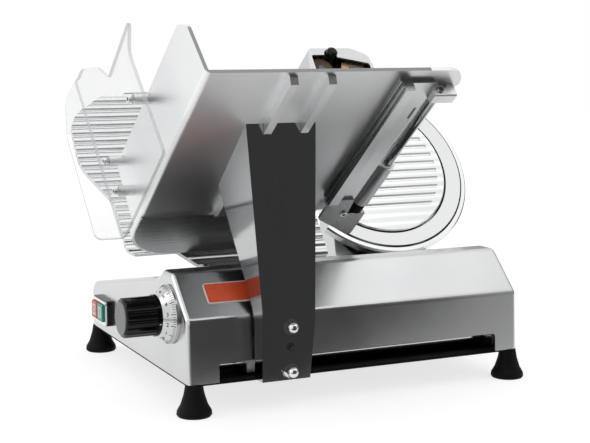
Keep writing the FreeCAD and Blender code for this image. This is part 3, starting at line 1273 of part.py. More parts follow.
def build():
    os.makedirs("parts", exist_ok=True)
    save("base_housing", base_housing())
    save("bottom_cover", bottom_cover())
    save("rubber_feet", *[foot(x, y) for x, y in feet_places()])
    save("slide_rod", slide_rod())
    save("rod_supports", rod_support(-1), rod_support(1))
    save("guide_rail", guide_rail())
    save("cord_gland", cord_gland())
    save("knife_housing", knife_housing())
    save("blade_ring_guard", blade_ring_guard())
    save("blade_cover", blade_cover())
    save("blade_spindle", blade_spindle())
    save("tie_rod", tie_rod())
    save("tie_rod_knob", tie_rod_knob())
    save("motor_body", motor_body())
    save("motor_pulley", motor_pulley())
    save("drive_belt", drive_belt())
    save("slice_deflector", slice_deflector())
    save("blade", blade())
    save("blade_pulley", blade_pulley())
    save("spindle_bearings", *[spindle_bearing(s) for s in BEARING_S])
    save("blade_screws", *blade_screws())
    save("sharpener_body", sharpener_body())
    save("sharpener_hood", sharpener_hood())
    save("grinding_stone", stone(0))
    save("truing_stone", stone(1))
    save("grinding_plunger", plunger(0))
    save("truing_plunger", plunger(1))
    save("lock_knob", lock_knob())
    save("gauge_plate", gauge_plate())
    save("gauge_carrier", gauge_carrier())
    save("gauge_guide_rods", *[gauge_guide_rod(y) for y in GUIDE_Y])
    save("gauge_guide_blocks", *[gauge_guide_block(s) for s in (GUIDE_S[0], GUIDE_S[1] - GUIDE_BLOCK_T)])
    save("index_cam", index_cam())
    save("index_spindle", index_spindle())
    save("dial_ring", dial_ring())
    save("index_knob", index_knob())
    save("knob_cap", knob_cap())
    save("switch_housing", switch_housing())
    save("off_button", push_button(-1))
    save("on_button", push_button(1))
    save("carriage_arm", carriage_arm())
    save("carriage_foot", carriage_foot())
    save("slide_bushings", *[slide_bushing(y) for y in bush_starts()])
    save("carriage_roller", carriage_roller())
    save("roller_axle", roller_axle())
    save("arm_fasteners", *[piece for z in ARM_STUD_Z for piece in arm_fasteners(z)])
    save("meat_table", meat_table())
    save("table_lip", table_lip())
    save("rod_rail", rod_rail())
    save("clear_guard", clear_guard())
    save("guard_standoffs", *[guard_standoff(place) for place in STANDOFFS])
    save("guard_screws", *[guard_screw(place) for place in STANDOFFS])
    save("rod_brackets", low_rod_bracket(), top_rod_bracket())
    save("rod_end_knob", rod_end_knob())
    save("pusher_rod", pusher_rod())
    save("pusher_buffer", pusher_buffer())
    save("pusher_bushing", pusher_bushing())
    save("pusher_arm", pusher_arm())
    save("pusher_plate", pusher_plate())
    save("pusher_grip", pusher_grip())


build()
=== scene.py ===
import json
import math

import bmesh
import bpy
from mathutils import Euler, Matrix, Vector


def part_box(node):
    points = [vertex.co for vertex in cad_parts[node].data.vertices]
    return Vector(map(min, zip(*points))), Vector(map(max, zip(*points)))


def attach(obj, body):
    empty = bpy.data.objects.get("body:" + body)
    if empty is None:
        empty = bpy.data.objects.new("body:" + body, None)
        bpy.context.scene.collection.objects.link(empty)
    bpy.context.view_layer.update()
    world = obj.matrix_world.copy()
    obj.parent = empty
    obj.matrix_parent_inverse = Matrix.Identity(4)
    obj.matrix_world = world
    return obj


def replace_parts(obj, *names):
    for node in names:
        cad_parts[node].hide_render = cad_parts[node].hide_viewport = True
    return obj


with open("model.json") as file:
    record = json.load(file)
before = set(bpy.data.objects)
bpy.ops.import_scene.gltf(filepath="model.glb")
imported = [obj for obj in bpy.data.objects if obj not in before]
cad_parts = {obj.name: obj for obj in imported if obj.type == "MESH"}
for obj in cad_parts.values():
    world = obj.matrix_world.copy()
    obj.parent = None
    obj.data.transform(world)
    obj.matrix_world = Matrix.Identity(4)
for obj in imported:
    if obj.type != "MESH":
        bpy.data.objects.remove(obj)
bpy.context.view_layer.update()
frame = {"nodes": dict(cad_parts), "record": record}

NODES = frame["nodes"]

# X runs across the slicer, Y along the carriage's travel and Z up. The meat table leans: D runs up
# it and N stands square off it. Shapes are written in millimetres, materials and the studio in metres.
SLOPE = math.radians(38.0)
X = Vector((1.0, 0.0, 0.0))
Y = Vector((0.0, 1.0, 0.0))
Z = Vector((0.0, 0.0, 1.0))
D = Vector((math.cos(SLOPE), 0.0, math.sin(SLOPE)))
N = Vector((-math.sin(SLOPE), 0.0, math.cos(SLOPE)))


def mm(x, y, z):
    return Vector((x, y, z)) / 1000.0


def on_slope(s, y, n):
    """A point given up the table, across it and square off it, in millimetres."""
    return (D * s + Y * y + N * n) / 1000.0


def front_of(node):
    """The middle of the face that a node turns to the operator."""
    low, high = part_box(node)
    return Vector(((low[0] + high[0]) / 2, low[1], (low[2] + high[2]) / 2))


# --- camera -------------------------------------------------------------------------------

camera_data = bpy.data.cameras.new("camera")
camera_data.sensor_width = 36.0
camera_data.lens = 82.43
camera = bpy.data.objects.new("camera", camera_data)
camera.location = mm(1502.2, -702.8, 405.7)
camera.rotation_euler = Euler((math.radians(82.21), 0.0, math.radians(64.96)))
bpy.context.scene.collection.objects.link(camera)
bpy.context.scene.camera = camera
bpy.context.scene.view_settings.view_transform = "Standard"


# --- helpers for materials ----------------------------------------------------------------

NOISE_LOW = 0.3                 # a noise stays between these nearly everywhere
NOISE_HIGH = 0.7
FLOAT_A, FLOAT_B, FLOAT_OUT = 2, 3, 0       # sockets of a Mix node, whose names repeat
COLOUR_A, COLOUR_B, COLOUR_OUT = 6, 7, 2


class Shader:
    """A Principled material with a few helpers for its nodes."""

    def __init__(self, name, **sockets):
        self.material = bpy.data.materials.new(name)
        self.material.use_nodes = True
        self.tree = self.material.node_tree
        self.bsdf = self.tree.nodes["Principled BSDF"]
        for key, value in sockets.items():
            socket = self.bsdf.inputs[key.replace("_", " ")]
            socket.default_value = (*value, 1.0) if isinstance(value, tuple) else value

    def node(self, kind, **values):
        """A new node; a value that isn't one of its properties sets the socket of that name."""
        made = self.tree.nodes.new(kind)
        for key, value in values.items():
            if hasattr(made, key):
                setattr(made, key, value)
            else:
                made.inputs[key.replace("_", " ")].default_value = value
        return made

    def link(self, source, out, target, to):
        self.tree.links.new(source.outputs[out], target.inputs[to])

    def span(self, source, out, start, end, low=0.0, high=1.0, **more):
        """Goes from low to high as the source's value goes from start to end."""
        part = self.node("ShaderNodeMapRange", From_Min=start, From_Max=end, To_Min=low, To_Max=high, **more)
        self.link(source, out, part, "Value")
        return part

    def place(self):
        """The place on the part, split into X, Y and Z."""
        place = self.node("ShaderNodeTexCoord")
        split = self.node("ShaderNodeSeparateXYZ")
        self.link(place, "Object", split, "Vector")
        return split

    def along(self, coordinate, axis):
        """How far the place ("Object") or the surface's direction ("Normal") goes along an axis."""
        place = self.node("ShaderNodeTexCoord")
        product = self.node("ShaderNodeVectorMath", operation="DOT_PRODUCT")
        product.inputs[1].default_value = axis
        self.link(place, coordinate, product, 0)
        return product

    def noise(self, scale, stretch=(1.0, 1.0, 1.0), turn=(0.0, 0.0, 0.0), detail=4.0):
        place = self.node("ShaderNodeTexCoord")
        mapping = self.node("ShaderNodeMapping", Rotation=turn, Scale=stretch)
        noise = self.node("ShaderNodeTexNoise", Scale=scale, Detail=detail)
        self.link(place, "Object", mapping, "Vector")
        self.link(mapping, "Vector", noise, "Vector")
        return noise

    def rings(self, centre, axis, scale):
        """Noise that only changes with the distance from an axis, as turning leaves it."""
        place = self.node("ShaderNodeTexCoord")
        offset = self.node("ShaderNodeVectorMath", operation="SUBTRACT")
        offset.inputs[1].default_value = centre
        self.link(place, "Object", offset, 0)
        across = self.node("ShaderNodeVectorMath", operation="CROSS_PRODUCT")
        across.inputs[1].default_value = axis
        self.link(offset, "Vector", across, 0)
        radius = self.node("ShaderNodeVectorMath", operation="LENGTH")
        self.link(across, "Vector", radius, 0)
        noise = self.node("ShaderNodeTexNoise", noise_dimensions="1D", Scale=scale, Detail=3.0)
        self.link(radius, "Value", noise, "W")
        return noise

    def vary(self, noise, socket, low, high):
        """The noise drives a value between low and high."""
        self.link(self.span(noise, "Fac", NOISE_LOW, NOISE_HIGH, low, high), "Result", self.bsdf, socket)

    def tint(self, noise, low, high):
        """The noise drives the colour between low and high. Returns the node that does it."""
        ramp = self.node("ShaderNodeValToRGB")
        for element, position, colour in zip(ramp.color_ramp.elements, (NOISE_LOW, NOISE_HIGH), (low, high)):
            element.position = position
            element.color = (*colour, 1.0)
        self.link(noise, "Fac", ramp, "Fac")
        self.link(ramp, "Color", self.bsdf, "Base Color")
        return ramp

    def blend(self, factor, near, far):
        """The colour goes with the factor from near, a colour or the node of a tint, to far."""
        mix = self.node("ShaderNodeMix", data_type="RGBA")
        mix.inputs[COLOUR_B].default_value = (*far, 1.0)
        if isinstance(near, tuple):
            mix.inputs[COLOUR_A].default_value = (*near, 1.0)
        else:
            self.link(near, "Color", mix, COLOUR_A)
        self.link(factor, "Result", mix, "Factor")
        self.link(mix, COLOUR_OUT, self.bsdf, "Base Color")

    def bump(self, source, out, strength, distance):
        bump = self.node("ShaderNodeBump", Strength=strength, Distance=distance)
        self.link(source, out, bump, "Height")
        self.link(bump, "Normal", self.bsdf, "Normal")


# --- materials ----------------------------------------------------------------------------

ALONG_Y = (12.0, 0.25, 12.0)        # how each grain stretches its noise into lines
ALONG_Z = (12.0, 12.0, 0.3)
ALONG_TABLE = (0.25, 12.0, 12.0)    # with TILT
TILT = (0.0, SLOPE, 0.0)
GRAIN = 60.0                        # scale of the noise in a brushed grain
SOFT = 14.0                         # scales of the soft change and of the fine tooth on a casting
TOOTH = 900.0
MOULD_SOFT = 30.0                   # and on moulded, painted and ground pieces
MOULD_TOOTH = 1100.0
SCRATCH = 0.0004                    # depth of a grain or a cast tooth
FINE_SCRATCH = 0.0003               # depth of turned rings and moulded tooth

COOL = 0.01                         # how much bluer than red a bare metal is
CAST_SPREAD = 0.06                  # how far tones vary over cast and turned metal
SHEET_SPREAD = 0.03                 # and over fluted and cut sheet

# Painted shade on the cut edges of sheet metal that face up the table, which stand out of the light
CUT_EDGE_SHADE = (0.24, 0.245, 0.25)
CUT_SHADE_FACING = (0.9, 0.97)            # a normal this far up the table brings in that colour
CLEAR_FACE = (0.93, 0.95, 0.96)
# The grey and the opacity of the clear sheet's cut edges are painted light, for the light the edges bend and
# reflect
CLEAR_EDGE_PAINTED_LIGHT = (0.60, 0.62, 0.64)
CLEAR_EDGE_ALPHA = 0.5
CLEAR_HAZE = (0.13, 0.17)           # alpha of the faces, uneven with wear
CLEAR_SCUFF = 35.0                  # scale of that wear
CLEAR_FACING = (0.45, 0.75)         # a normal this far square off the sheet turns edge into face

GUARD_BEND_Y = -0.2475              # the clear guard's flange bends away here
GUARD_LEAN = math.radians(7.8)
GUARD_FLANGE_AXIS = (D * math.cos(GUARD_LEAN) + N * math.sin(GUARD_LEAN)).normalized()

HUB = on_slope(0.0, 156.0, 238.0)   # a point on the blade's axis
ROD_Y = 54.0                        # the pusher's rod, across the table and off it
ROD_N = 124.0


def greys(tone, spread):
    """Two slightly cool greys, as bare metal has, on either side of a tone."""
    return [(value, value + COOL / 2, value + COOL) for value in (tone - spread / 2, tone + spread / 2)]


def brushed(name, tone, rough, grain, turn=(0.0, 0.0, 0.0), bump=0.05, spread=0.04):
    """Metal with a fine grain; grain is the stretch that draws the noise out into lines."""
    shader = Shader(name, Metallic=1.0)
    fine = shader.noise(GRAIN, grain, turn)
    shader.tint(fine, *greys(tone, spread))
    shader.vary(fine, "Roughness", *rough)
    shader.bump(fine, "Fac", bump, SCRATCH)
    return shader.material


def blasted(name, tone, rough, bump=0.12):
    """Metal with a fine even tooth, as bead blasting and casting leave it."""
    shader = Shader(name, Metallic=1.0)
    soft = shader.noise(SOFT)
    shader.tint(soft, *greys(tone, CAST_SPREAD))
    shader.vary(soft, "Roughness", *rough)
    shader.bump(shader.noise(TOOTH, detail=2.0), "Fac", bump, SCRATCH)
    return shader.material


def turned(name, tone, rough, centre, axis, scale, bump=0.03):
    """Metal with the fine rings of a lathe or a grinder round an axis."""
    shader = Shader(name, Metallic=1.0)
    rings = shader.rings(centre, axis, scale)
    shader.tint(rings, *greys(tone, CAST_SPREAD))
    shader.vary(rings, "Roughness", *rough)
    shader.bump(rings, "Fac", bump, FINE_SCRATCH)
    return shader.material


def plastic(name, low, high, rough, bump=0.1, **sockets):
    """Plastic, rubber, paint or stone: a soft change of colour and a fine tooth."""
    shader = Shader(name, **sockets)
    soft = shader.noise(MOULD_SOFT)
    shader.tint(soft, low, high)
    shader.vary(soft, "Roughness", *rough)
    shader.bump(shader.noise(MOULD_TOOTH, detail=2.0), "Fac", bump, FINE_SCRATCH)
    return shader.material


def sintered(name, low, high, rough, bump=0.06):
    """Dull sintered metal, whose colour varies between two tones."""
    shader = Shader(name, Metallic=1.0)
    fine = shader.noise(GRAIN, ALONG_Y)
    shader.tint(fine, low, high)
    shader.vary(fine, "Roughness", *rough)
    shader.bump(fine, "Fac", bump, SCRATCH)
    return shader.material


def cut_sheet(name, tone, rough, bump=0.008):
    """Sheet metal with its grain up the table, and painted shade on cut edges that face up the table."""
    shader = Shader(name, Metallic=1.0)
    fine = shader.noise(GRAIN, ALONG_TABLE, TILT)
    face = shader.tint(fine, *greys(tone, SHEET_SPREAD))
    shader.blend(shader.span(shader.along("Normal", D), "Value", *CUT_SHADE_FACING), face, CUT_EDGE_SHADE)
    shader.vary(fine, "Roughness", *rough)
    shader.bump(fine, "Fac", bump, SCRATCH)
    return shader.material


def fluted(name, tone, rough, first, pitch, depth):
    """Metal with soft flutes along Y: first is a flute's place square off the table, in metres."""
    shader = Shader(name, Metallic=1.0)
    fine = shader.noise(GRAIN, ALONG_Y)
    shader.tint(fine, *greys(tone, SHEET_SPREAD))
    shader.vary(fine, "Roughness", *rough)
    phase = shader.node("ShaderNodeMath", operation="MULTIPLY_ADD")
    phase.inputs[1].default_value = 2 * math.pi / pitch
    phase.inputs[2].default_value = math.pi - 2 * math.pi * first / pitch
    shader.link(shader.along("Object", N), "Value", phase, 0)
    wave = shader.node("ShaderNodeMath", operation="COSINE")
    shader.link(phase, "Value", wave, 0)
    shader.bump(wave, "Value", 1.0, depth / 2)
    return shader.material


def clear_sheet():
    """Acrylic sheet: nearly unseen across its faces, with painted light at its cut edges, grey and more
    opaque.
    """
    shader = Shader("clear", Base_Color=CLEAR_FACE, Roughness=0.04, IOR=1.49)
    in_flange = shader.node("ShaderNodeMath", operation="LESS_THAN")
    in_flange.inputs[1].default_value = GUARD_BEND_Y
    shader.link(shader.place(), "Y", in_flange, 0)
    across = shader.node("ShaderNodeMix", data_type="FLOAT")
    shader.link(in_flange, "Value", across, "Factor")
    for axis, socket in ((Y, FLOAT_A), (GUARD_FLANGE_AXIS, FLOAT_B)):
        size = shader.node("ShaderNodeMath", operation="ABSOLUTE")
        shader.link(shader.along("Normal", axis), "Value", size, 0)
        shader.link(size, "Value", across, socket)
    on_face = shader.span(across, FLOAT_OUT, *CLEAR_FACING)
    shader.blend(on_face, CLEAR_EDGE_PAINTED_LIGHT, CLEAR_FACE)
    haze = shader.span(shader.noise(CLEAR_SCUFF), "Fac", NOISE_LOW, NOISE_HIGH, *CLEAR_HAZE)
    alpha = shader.span(on_face, "Result", 0.0, 1.0, CLEAR_EDGE_ALPHA)
    shader.link(haze, "Result", alpha, "To Max")
    shader.link(alpha, "Result", shader.bsdf, "Alpha")
    return shader.material


LOOKS = {
    # the record's material slots
    "anodised": blasted("anodised", 0.61, (0.20, 0.26), 0.05),
    "polished": brushed("polished", 0.70, (0.12, 0.17), ALONG_Z, bump=0.02),
    "cast": blasted("cast", 0.60, (0.30, 0.40)),
    "steel": brushed("steel", 0.58, (0.22, 0.30), ALONG_Y),
    "bright": brushed("bright", 0.78, (0.06, 0.11), ALONG_TABLE, TILT, 0.01),
    "black": plastic("black", (0.002, 0.002, 0.003), (0.005, 0.005, 0.006), (0.08, 0.14), 0.02,
                     Specular_IOR_Level=0.22),
    "cover_plastic": plastic("cover_plastic", (0.012, 0.012, 0.013), (0.02, 0.02, 0.021), (0.4, 0.5)),
    "rubber": plastic("rubber", (0.003, 0.003, 0.003), (0.007, 0.007, 0.007), (0.5, 0.68), 0.2,
                      Specular_IOR_Level=0.12),
    "grey": plastic("grey", (0.23, 0.235, 0.24), (0.27, 0.275, 0.28), (0.4, 0.5)),
    "red": plastic("red", (0.72, 0.05, 0.03), (0.80, 0.06, 0.035), (0.25, 0.33), 0.02),
    "green": plastic("green", (0.0, 0.30, 0.20), (0.0, 0.36, 0.24), (0.25, 0.33), 0.02),
    "stone": plastic("stone", (0.09, 0.05, 0.03), (0.16, 0.09, 0.055), (0.75, 0.9), 0.7),
    "bronze": sintered("bronze", (0.50, 0.33, 0.17), (0.60, 0.41, 0.22), (0.35, 0.45)),
    "white": plastic("white", (0.78, 0.78, 0.76), (0.84, 0.84, 0.82), (0.35, 0.45)),
    "clear": clear_sheet(),
    # finishes that a slot's pieces don't share
    "arm": brushed("arm_metal", 0.46, (0.09, 0.13), ALONG_Z, bump=0.01, spread=0.03),
    "table": cut_sheet("table_metal", 0.84, (0.32, 0.38)),
    "lip": brushed("lip_metal", 0.44, (0.26, 0.32), ALONG_Y, bump=0.01, spread=0.03),
    "satin": blasted("satin", 0.80, (0.34, 0.42), 0.05),
    "dark_cast": blasted("dark_cast", 0.16, (0.45, 0.55)),
    "clamp": blasted("clamp", 0.34, (0.22, 0.30), 0.05),
    "hood": blasted("hood", 0.56, (0.24, 0.32), 0.05),
    "cover_metal": fluted("cover_metal", 0.80, (0.16, 0.22), 0.238, 0.0127, 0.0002),
    "gauge_metal": fluted("gauge_metal", 0.70, (0.16, 0.22), 0.132, 0.012, 0.0017),
    "ring_metal": blasted("ring_metal", 0.85, (0.18, 0.24), 0.04),
    "blade_metal": turned("blade_metal", 0.62, (0.12, 0.20), HUB, D, 1800.0),
    "rod_metal": turned("rod_metal", 0.38, (0.06, 0.10), on_slope(0.0, ROD_Y, ROD_N), D, 600.0),
    "plate_red": plastic("plate_red", (0.74, 0.09, 0.03), (0.82, 0.11, 0.04), (0.22, 0.30), 0.02),
    "print": plastic("print", (0.02, 0.02, 0.022), (0.03, 0.03, 0.032), (0.5, 0.6), 0.02),
}

SLOT_OF = {part["node"]: part["material_slot"] for part in frame["record"]["subparts"]}
OWN_LOOK = {
    "carriage_arm": "arm",
    "meat_table": "table",
    "rod_rail": "table",
    "table_lip": "lip",
    "rod_brackets": "clamp",
    "blade": "blade_metal",
    "blade_cover": "cover_metal",
    "blade_ring_guard": "ring_metal",
    "gauge_plate": "gauge_metal",
    "sharpener_body": "dark_cast",
    "sharpener_hood": "hood",
    "grinding_plunger": "dark_cast",
    "truing_plunger": "dark_cast",
}
for name, obj in NODES.items():
    obj.data.materials.clear()
    obj.data.materials.append(LOOKS[OWN_LOOK.get(name, SLOT_OF[name])])


# --- helpers for thin pieces --------------------------------------------------------------

def mesh_of(name, build):
    """The mesh that build() makes in a bmesh, closed and with its normals outward."""
    bm = bmesh.new()
    build(bm)
    bmesh.ops.recalc_face_normals(bm, faces=bm.faces)
    mesh = bpy.data.meshes.new(name)
    bm.to_mesh(mesh)
    bm.free()
    return mesh


def add(name, build, body, look):
    """A piece of the part: its mesh is placed already, and it rides on a body."""
    mesh = mesh_of(name, build)
    mesh.materials.append(LOOKS[look])
    obj = bpy.data.objects.new(name, mesh)
    bpy.context.scene.collection.objects.link(obj)
    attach(obj, body)
    return obj


def circle(radius, count=32):
    return [(radius * math.cos(2 * math.pi * i / count), radius * math.sin(2 * math.pi * i / count))
            for i in range(count)]


def hexagon(flats):
    return circle(flats / math.sqrt(3.0), 6)


def oblong(width, height):
    return [(side * width / 2, end * height / 2) for side, end in ((-1, -1), (1, -1), (1, 1), (-1, 1))]


def rounded(width, height, radius, steps=5):
    """Points of a rounded rectangle round (0, 0)."""
    points = []
    for k, (sx, sy) in enumerate(((1, 1), (-1, 1), (-1, -1), (1, -1))):
        centre = (sx * (width / 2 - radius), sy * (height / 2 - radius))
        for i in range(steps + 1):
            turn = math.pi / 2 * (k + i / steps)
            points.append((centre[0] + radius * math.cos(turn), centre[1] + radius * math.sin(turn)))
    return points


def laid(bm, outline, at, across, along, lift=0.0):
    """Vertices of an outline in millimetres, laid at a point and lifted off it."""
    up = across.cross(along).normalized()
    return [bm.verts.new(at + (across * a + along * b + up * lift) / 1000.0) for a, b in outline]


def join(bm, ring, after):
    """The faces between two rings of vertices."""
    for k in range(len(ring)):
        j = (k + 1) % len(ring)
        bm.faces.new((ring[k], ring[j], after[j], after[k]))


def slab(bm, outline, at, across, along, thickness, bevel=0.0):
    """A flat closed plate from an outline in millimetres, laid at a point and raised off it."""
    face = bm.faces.new(laid(bm, outline, at, across, along))
    raised = bmesh.ops.extrude_face_region(bm, geom=[face])
    top = [item for item in raised["geom"] if isinstance(item, bmesh.types.BMVert)]
    bmesh.ops.translate(bm, verts=top, vec=across.cross(along).normalized() * thickness / 1000.0)
    if bevel:
        edges = [edge for edge in bm.edges if edge.is_valid and all(vert in top for vert in edge.verts)]
        bmesh.ops.bevel(bm, geom=edges, offset=bevel / 1000.0, segments=2, affect="EDGES", profile=0.6)


def frame_ring(bm, outer, inner, at, across, along, thickness):
    """A flat closed ring between two outlines that have the same number of points."""
    low_out, low_in, top_out, top_in = [laid(bm, outline, at, across, along, lift)
                                        for lift in (0.0, thickness) for outline in (outer, inner)]
    join(bm, low_out, low_in)
    join(bm, top_out, top_in)
    join(bm, low_out, top_out)
    join(bm, low_in, top_in)


def bar(bm, rings):
    """A closed solid through rings of vertices."""
    bm.faces.new(rings[0])
    bm.faces.new(rings[-1])
    for ring, after in zip(rings, rings[1:]):
        join(bm, ring, after)


# A socket or a slot drawn with this thickness is a dark patch of painted shade; a sign is print.
INK = 0.12      # thickness of a sign, a socket or a slot that lies on a face


# --- bare plate on the long chamfer of the base: a red field in a pale rim ------------------

CHAMFER_TOP = mm(126.0, 0.0, 149.5)
CHAMFER_FOOT = mm(174.0, 0.0, 104.5)
CHAMFER_DOWN = (CHAMFER_FOOT - CHAMFER_TOP).normalized()
CHAMFER_OUT = Vector((-CHAMFER_DOWN.z, 0.0, CHAMFER_DOWN.x))
PLATE_Y = -131.5
PLATE_DOWN = 31.8               # its middle, from the chamfer's top edge
PLATE_CLEAR = 0.02
PLATE_AT = CHAMFER_TOP + (Y * PLATE_Y + CHAMFER_DOWN * PLATE_DOWN + CHAMFER_OUT * PLATE_CLEAR) / 1000.0
PLATE_LENGTH = 95.0
PLATE_HEIGHT = 27.6
PLATE_CORNER_R = 3.0
PLATE_ROUND = 0.2
RIM_WIDTH = 1.3
RIM_THICK = 0.7
FIELD_THICK = 0.35


def plate(bm, inset, lift, thickness):
    outline = rounded(PLATE_LENGTH - 2 * inset, PLATE_HEIGHT - 2 * inset, PLATE_CORNER_R - inset)
    slab(bm, outline, PLATE_AT + CHAMFER_OUT * lift / 1000.0, Y, -CHAMFER_DOWN, thickness, PLATE_ROUND)


def name_plate_rim(bm):
    plate(bm, 0.0, 0.0, RIM_THICK)


def name_plate(bm):
    plate(bm, RIM_WIDTH, RIM_THICK, FIELD_THICK)


# --- dial: a pale cone between its rim and the knob, with the scale in millimetres of slice --

DIAL_AT = front_of("dial_ring") * 1000.0
CONE_SMALL = (22.5, -225.3)     # radius and y of the cone's two ends
CONE_LARGE = (33.0, -213.0)
CONE_BORE_R = 11.5
CONE_BACK_Y = -217.1
CONE = ((CONE_BORE_R, CONE_SMALL[1]), CONE_SMALL, CONE_LARGE, (33.0, -211.8), (32.1, -211.8),
        (32.1, -213.2), (27.1, CONE_BACK_Y), (CONE_BORE_R, CONE_BACK_Y))
CONE_STEPS = 120
CONE_SLANT = (Vector(CONE_LARGE) - Vector(CONE_SMALL)).normalized()
SCALE_FROM = -65.0              # degrees to zero, from the operator's right toward the top
SCALE_STEP = 25.0               # degrees for each millimetre
SCALE_END = 14
TICKS_PER_STEP = 5
LONG_TICK = (9.6, 0.42)         # its start, down the cone's slant, and half its width
SHORT_TICK = (12.0, 0.26)
TICK_END = 15.6
TICK_R = 30.0                   # where a tick has that width
TICK_LIFTS = (-0.05, 0.12)      # its underside and top, off the cone
NUMBER_SIZE = 0.0062
NUMBER_RAISED = 0.00008
NUMBER_BOLD = 0.00006
NUMBER_AT = 5.6                 # down the cone's slant
NUMBER_LIFT = 0.06
MARK_VALUE = 2                  # the knob's mark stands over this number
MARK_SIZE = (1.0, 2.6)
MARK_R = 23.18
MARK_Y = -227.6
MARK_THICK = 0.15


def scale_turn(value):
    return math.radians(SCALE_FROM + SCALE_STEP * value)


def around(radius, y, turn):
    return mm(DIAL_AT.x + radius * math.cos(turn), y, DIAL_AT.z + radius * math.sin(turn))


def cone_point(along, turn, lift):
    """A point down the cone's slant from its small end, and lifted off it."""
    return around(CONE_SMALL[0] + along * CONE_SLANT[0] + lift * CONE_SLANT[1],
                  CONE_SMALL[1] + along * CONE_SLANT[1] - lift * CONE_SLANT[0], turn)


def dial_cone(bm):
    rings = [[bm.verts.new(around(radius, y, 2 * math.pi * i / CONE_STEPS)) for i in range(CONE_STEPS)]
             for radius, y in CONE]
    for ring, after in zip(rings, rings[1:] + rings[:1]):
        join(bm, ring, after)


def dial_ticks(bm):
    for i in range(SCALE_END * TICKS_PER_STEP + 1):
        turn = scale_turn(i / TICKS_PER_STEP)
        start, half_width = SHORT_TICK if i % TICKS_PER_STEP else LONG_TICK
        half = half_width / TICK_R
        corners = ((start, -half), (TICK_END, -half), (TICK_END, half), (start, half))
        bar(bm, [[bm.verts.new(cone_point(along, turn + side, lift)) for along, side in corners]
                 for lift in TICK_LIFTS])


def number_mesh(value):
    """The digits of a number as a mesh, upright in the plane of x and y."""
    curve = bpy.data.curves.new("number", "FONT")
    curve.body = str(value)
    curve.size = NUMBER_SIZE
    curve.align_x = "CENTER"
    curve.align_y = "CENTER"
    curve.extrude = NUMBER_RAISED
    curve.offset = NUMBER_BOLD
    curve.resolution_u = 3
    holder = bpy.data.objects.new("number", curve)
    bpy.context.scene.collection.objects.link(holder)
    bpy.context.view_layer.update()
    mesh = bpy.data.meshes.new_from_object(holder.evaluated_get(bpy.context.evaluated_depsgraph_get()))
    bpy.data.objects.remove(holder)
    bpy.data.curves.remove(curve)
    return mesh


def dial_numbers(bm):
    for value in range(SCALE_END + 1):
        turn = scale_turn(value)
        outward = Vector((math.cos(turn), 0.0, math.sin(turn)))
        down = (outward * CONE_SLANT[0] + Y * CONE_SLANT[1]).normalized()
        off = (outward * CONE_SLANT[1] - Y * CONE_SLANT[0]).normalized()
        facing = Matrix((down, off.cross(down), off)).transposed().to_4x4()
        mesh = number_mesh(value)
        mesh.transform(Matrix.Translation(cone_point(NUMBER_AT, turn, NUMBER_LIFT)) @ facing)
        bm.from_mesh(mesh)
        bpy.data.meshes.remove(mesh)


def knob_mark(bm):
    turn = scale_turn(MARK_VALUE)
    tangent = Vector((-math.sin(turn), 0.0, math.cos(turn)))
    slab(bm, oblong(*MARK_SIZE), around(MARK_R, MARK_Y, turn), tangent, Y, -MARK_THICK)


# --- switch: chrome bezel round the two push buttons, and their plain signs ----------------

BEZEL_OUTER = (54.0, 30.0, 4.0)     # width, height and corner radius
BEZEL_INNER = (45.0, 22.6, 2.0)
BEZEL_THICK = 2.4
INLAY = (11.5, 14.5, 2.0)
INLAY_THICK = 0.1
O_RADII = (4.4, 3.1)
I_SIZE = (1.8, 9.2)


def sign_at(button):
    return front_of(button) - Y * INLAY_THICK / 1000.0


def switch_bezel(bm):
    at = front_of("switch_housing")
    frame_ring(bm, rounded(*BEZEL_OUTER), rounded(*BEZEL_INNER), at, X, Z, BEZEL_THICK)


def off_inlay(bm):
    slab(bm, rounded(*INLAY), front_of("off_button"), X, Z, INLAY_THICK)


def on_inlay(bm):
    slab(bm, rounded(*INLAY), front_of("on_button"), X, Z, INLAY_THICK)


def off_sign(bm):
    outer, inner = O_RADII
    frame_ring(bm, circle(outer), circle(inner), sign_at("off_button"), X, Z, INK)


def on_sign(bm):
    slab(bm, oblong(*I_SIZE), sign_at("on_button"), X, Z, INK)


# --- base: the seal between the housing and its bottom cover, a thin black line -------------

BASE_LOW, BASE_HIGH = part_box("base_housing")
GASKET_INSET = 0.3              # from the housing's sides
GASKET_WIDTH = 3.5
GASKET_Z = 33.2
GASKET_THICK = 1.75
GASKET_CORNER_R = (6.0, 4.0)    # outside and inside


def base_gasket(bm):
    outlines = []
    for inset, radius in zip((GASKET_INSET, GASKET_INSET + GASKET_WIDTH), GASKET_CORNER_R):
        width, length = ((BASE_HIGH[k] - BASE_LOW[k]) * 1000.0 - 2 * inset for k in (0, 1))
        outlines.append(rounded(width, length, radius))
    frame_ring(bm, *outlines, mm(0.0, 0.0, GASKET_Z), X, Y, GASKET_THICK)


# --- carriage: rail trim, rod and its end bracket, screws and the painted shade in their sockets ---

# Side of the extruded rail under the table, with its two grooves: a profile in Y and N
# The darker clamp metal on the rail's side is painted shade; only its underside keeps the table's pale
# metal.
RAIL_PROFILE = ((-1.0, 124.1), (-1.0, 122.0), (1.2, 120.6), (1.2, 118.4), (-1.0, 117.4), (-1.0, 115.0),
                (1.2, 113.6), (1.2, 111.6), (-0.4, 110.4), (1.0, 109.2), (12.9, 109.2), (12.9, 119.0),
                (12.9, 124.1))
RAIL_S = (199.0, 428.0)
RAIL_SLOT = (3.2, 21.0, 1.5)
RAIL_SLOT_AT = on_slope(372.4, 36.3, 119.2)
SQUARE_ON = 0.97                # a face's normal goes this far along an axis that the face looks along

# A flat dark disc paints the shade inside the carriage foot's spare hole
FOOT_HOLE_AT = mm(199.0, -101.2, 72.9)
FOOT_HOLE_R = 4.4
FOOT_HOLE_THICK = 0.15

ROD_S = (152.0, 419.5)
ROD_R = 6.5
ROD_CHAMFER = 1.0
ROD_SIDES = 64

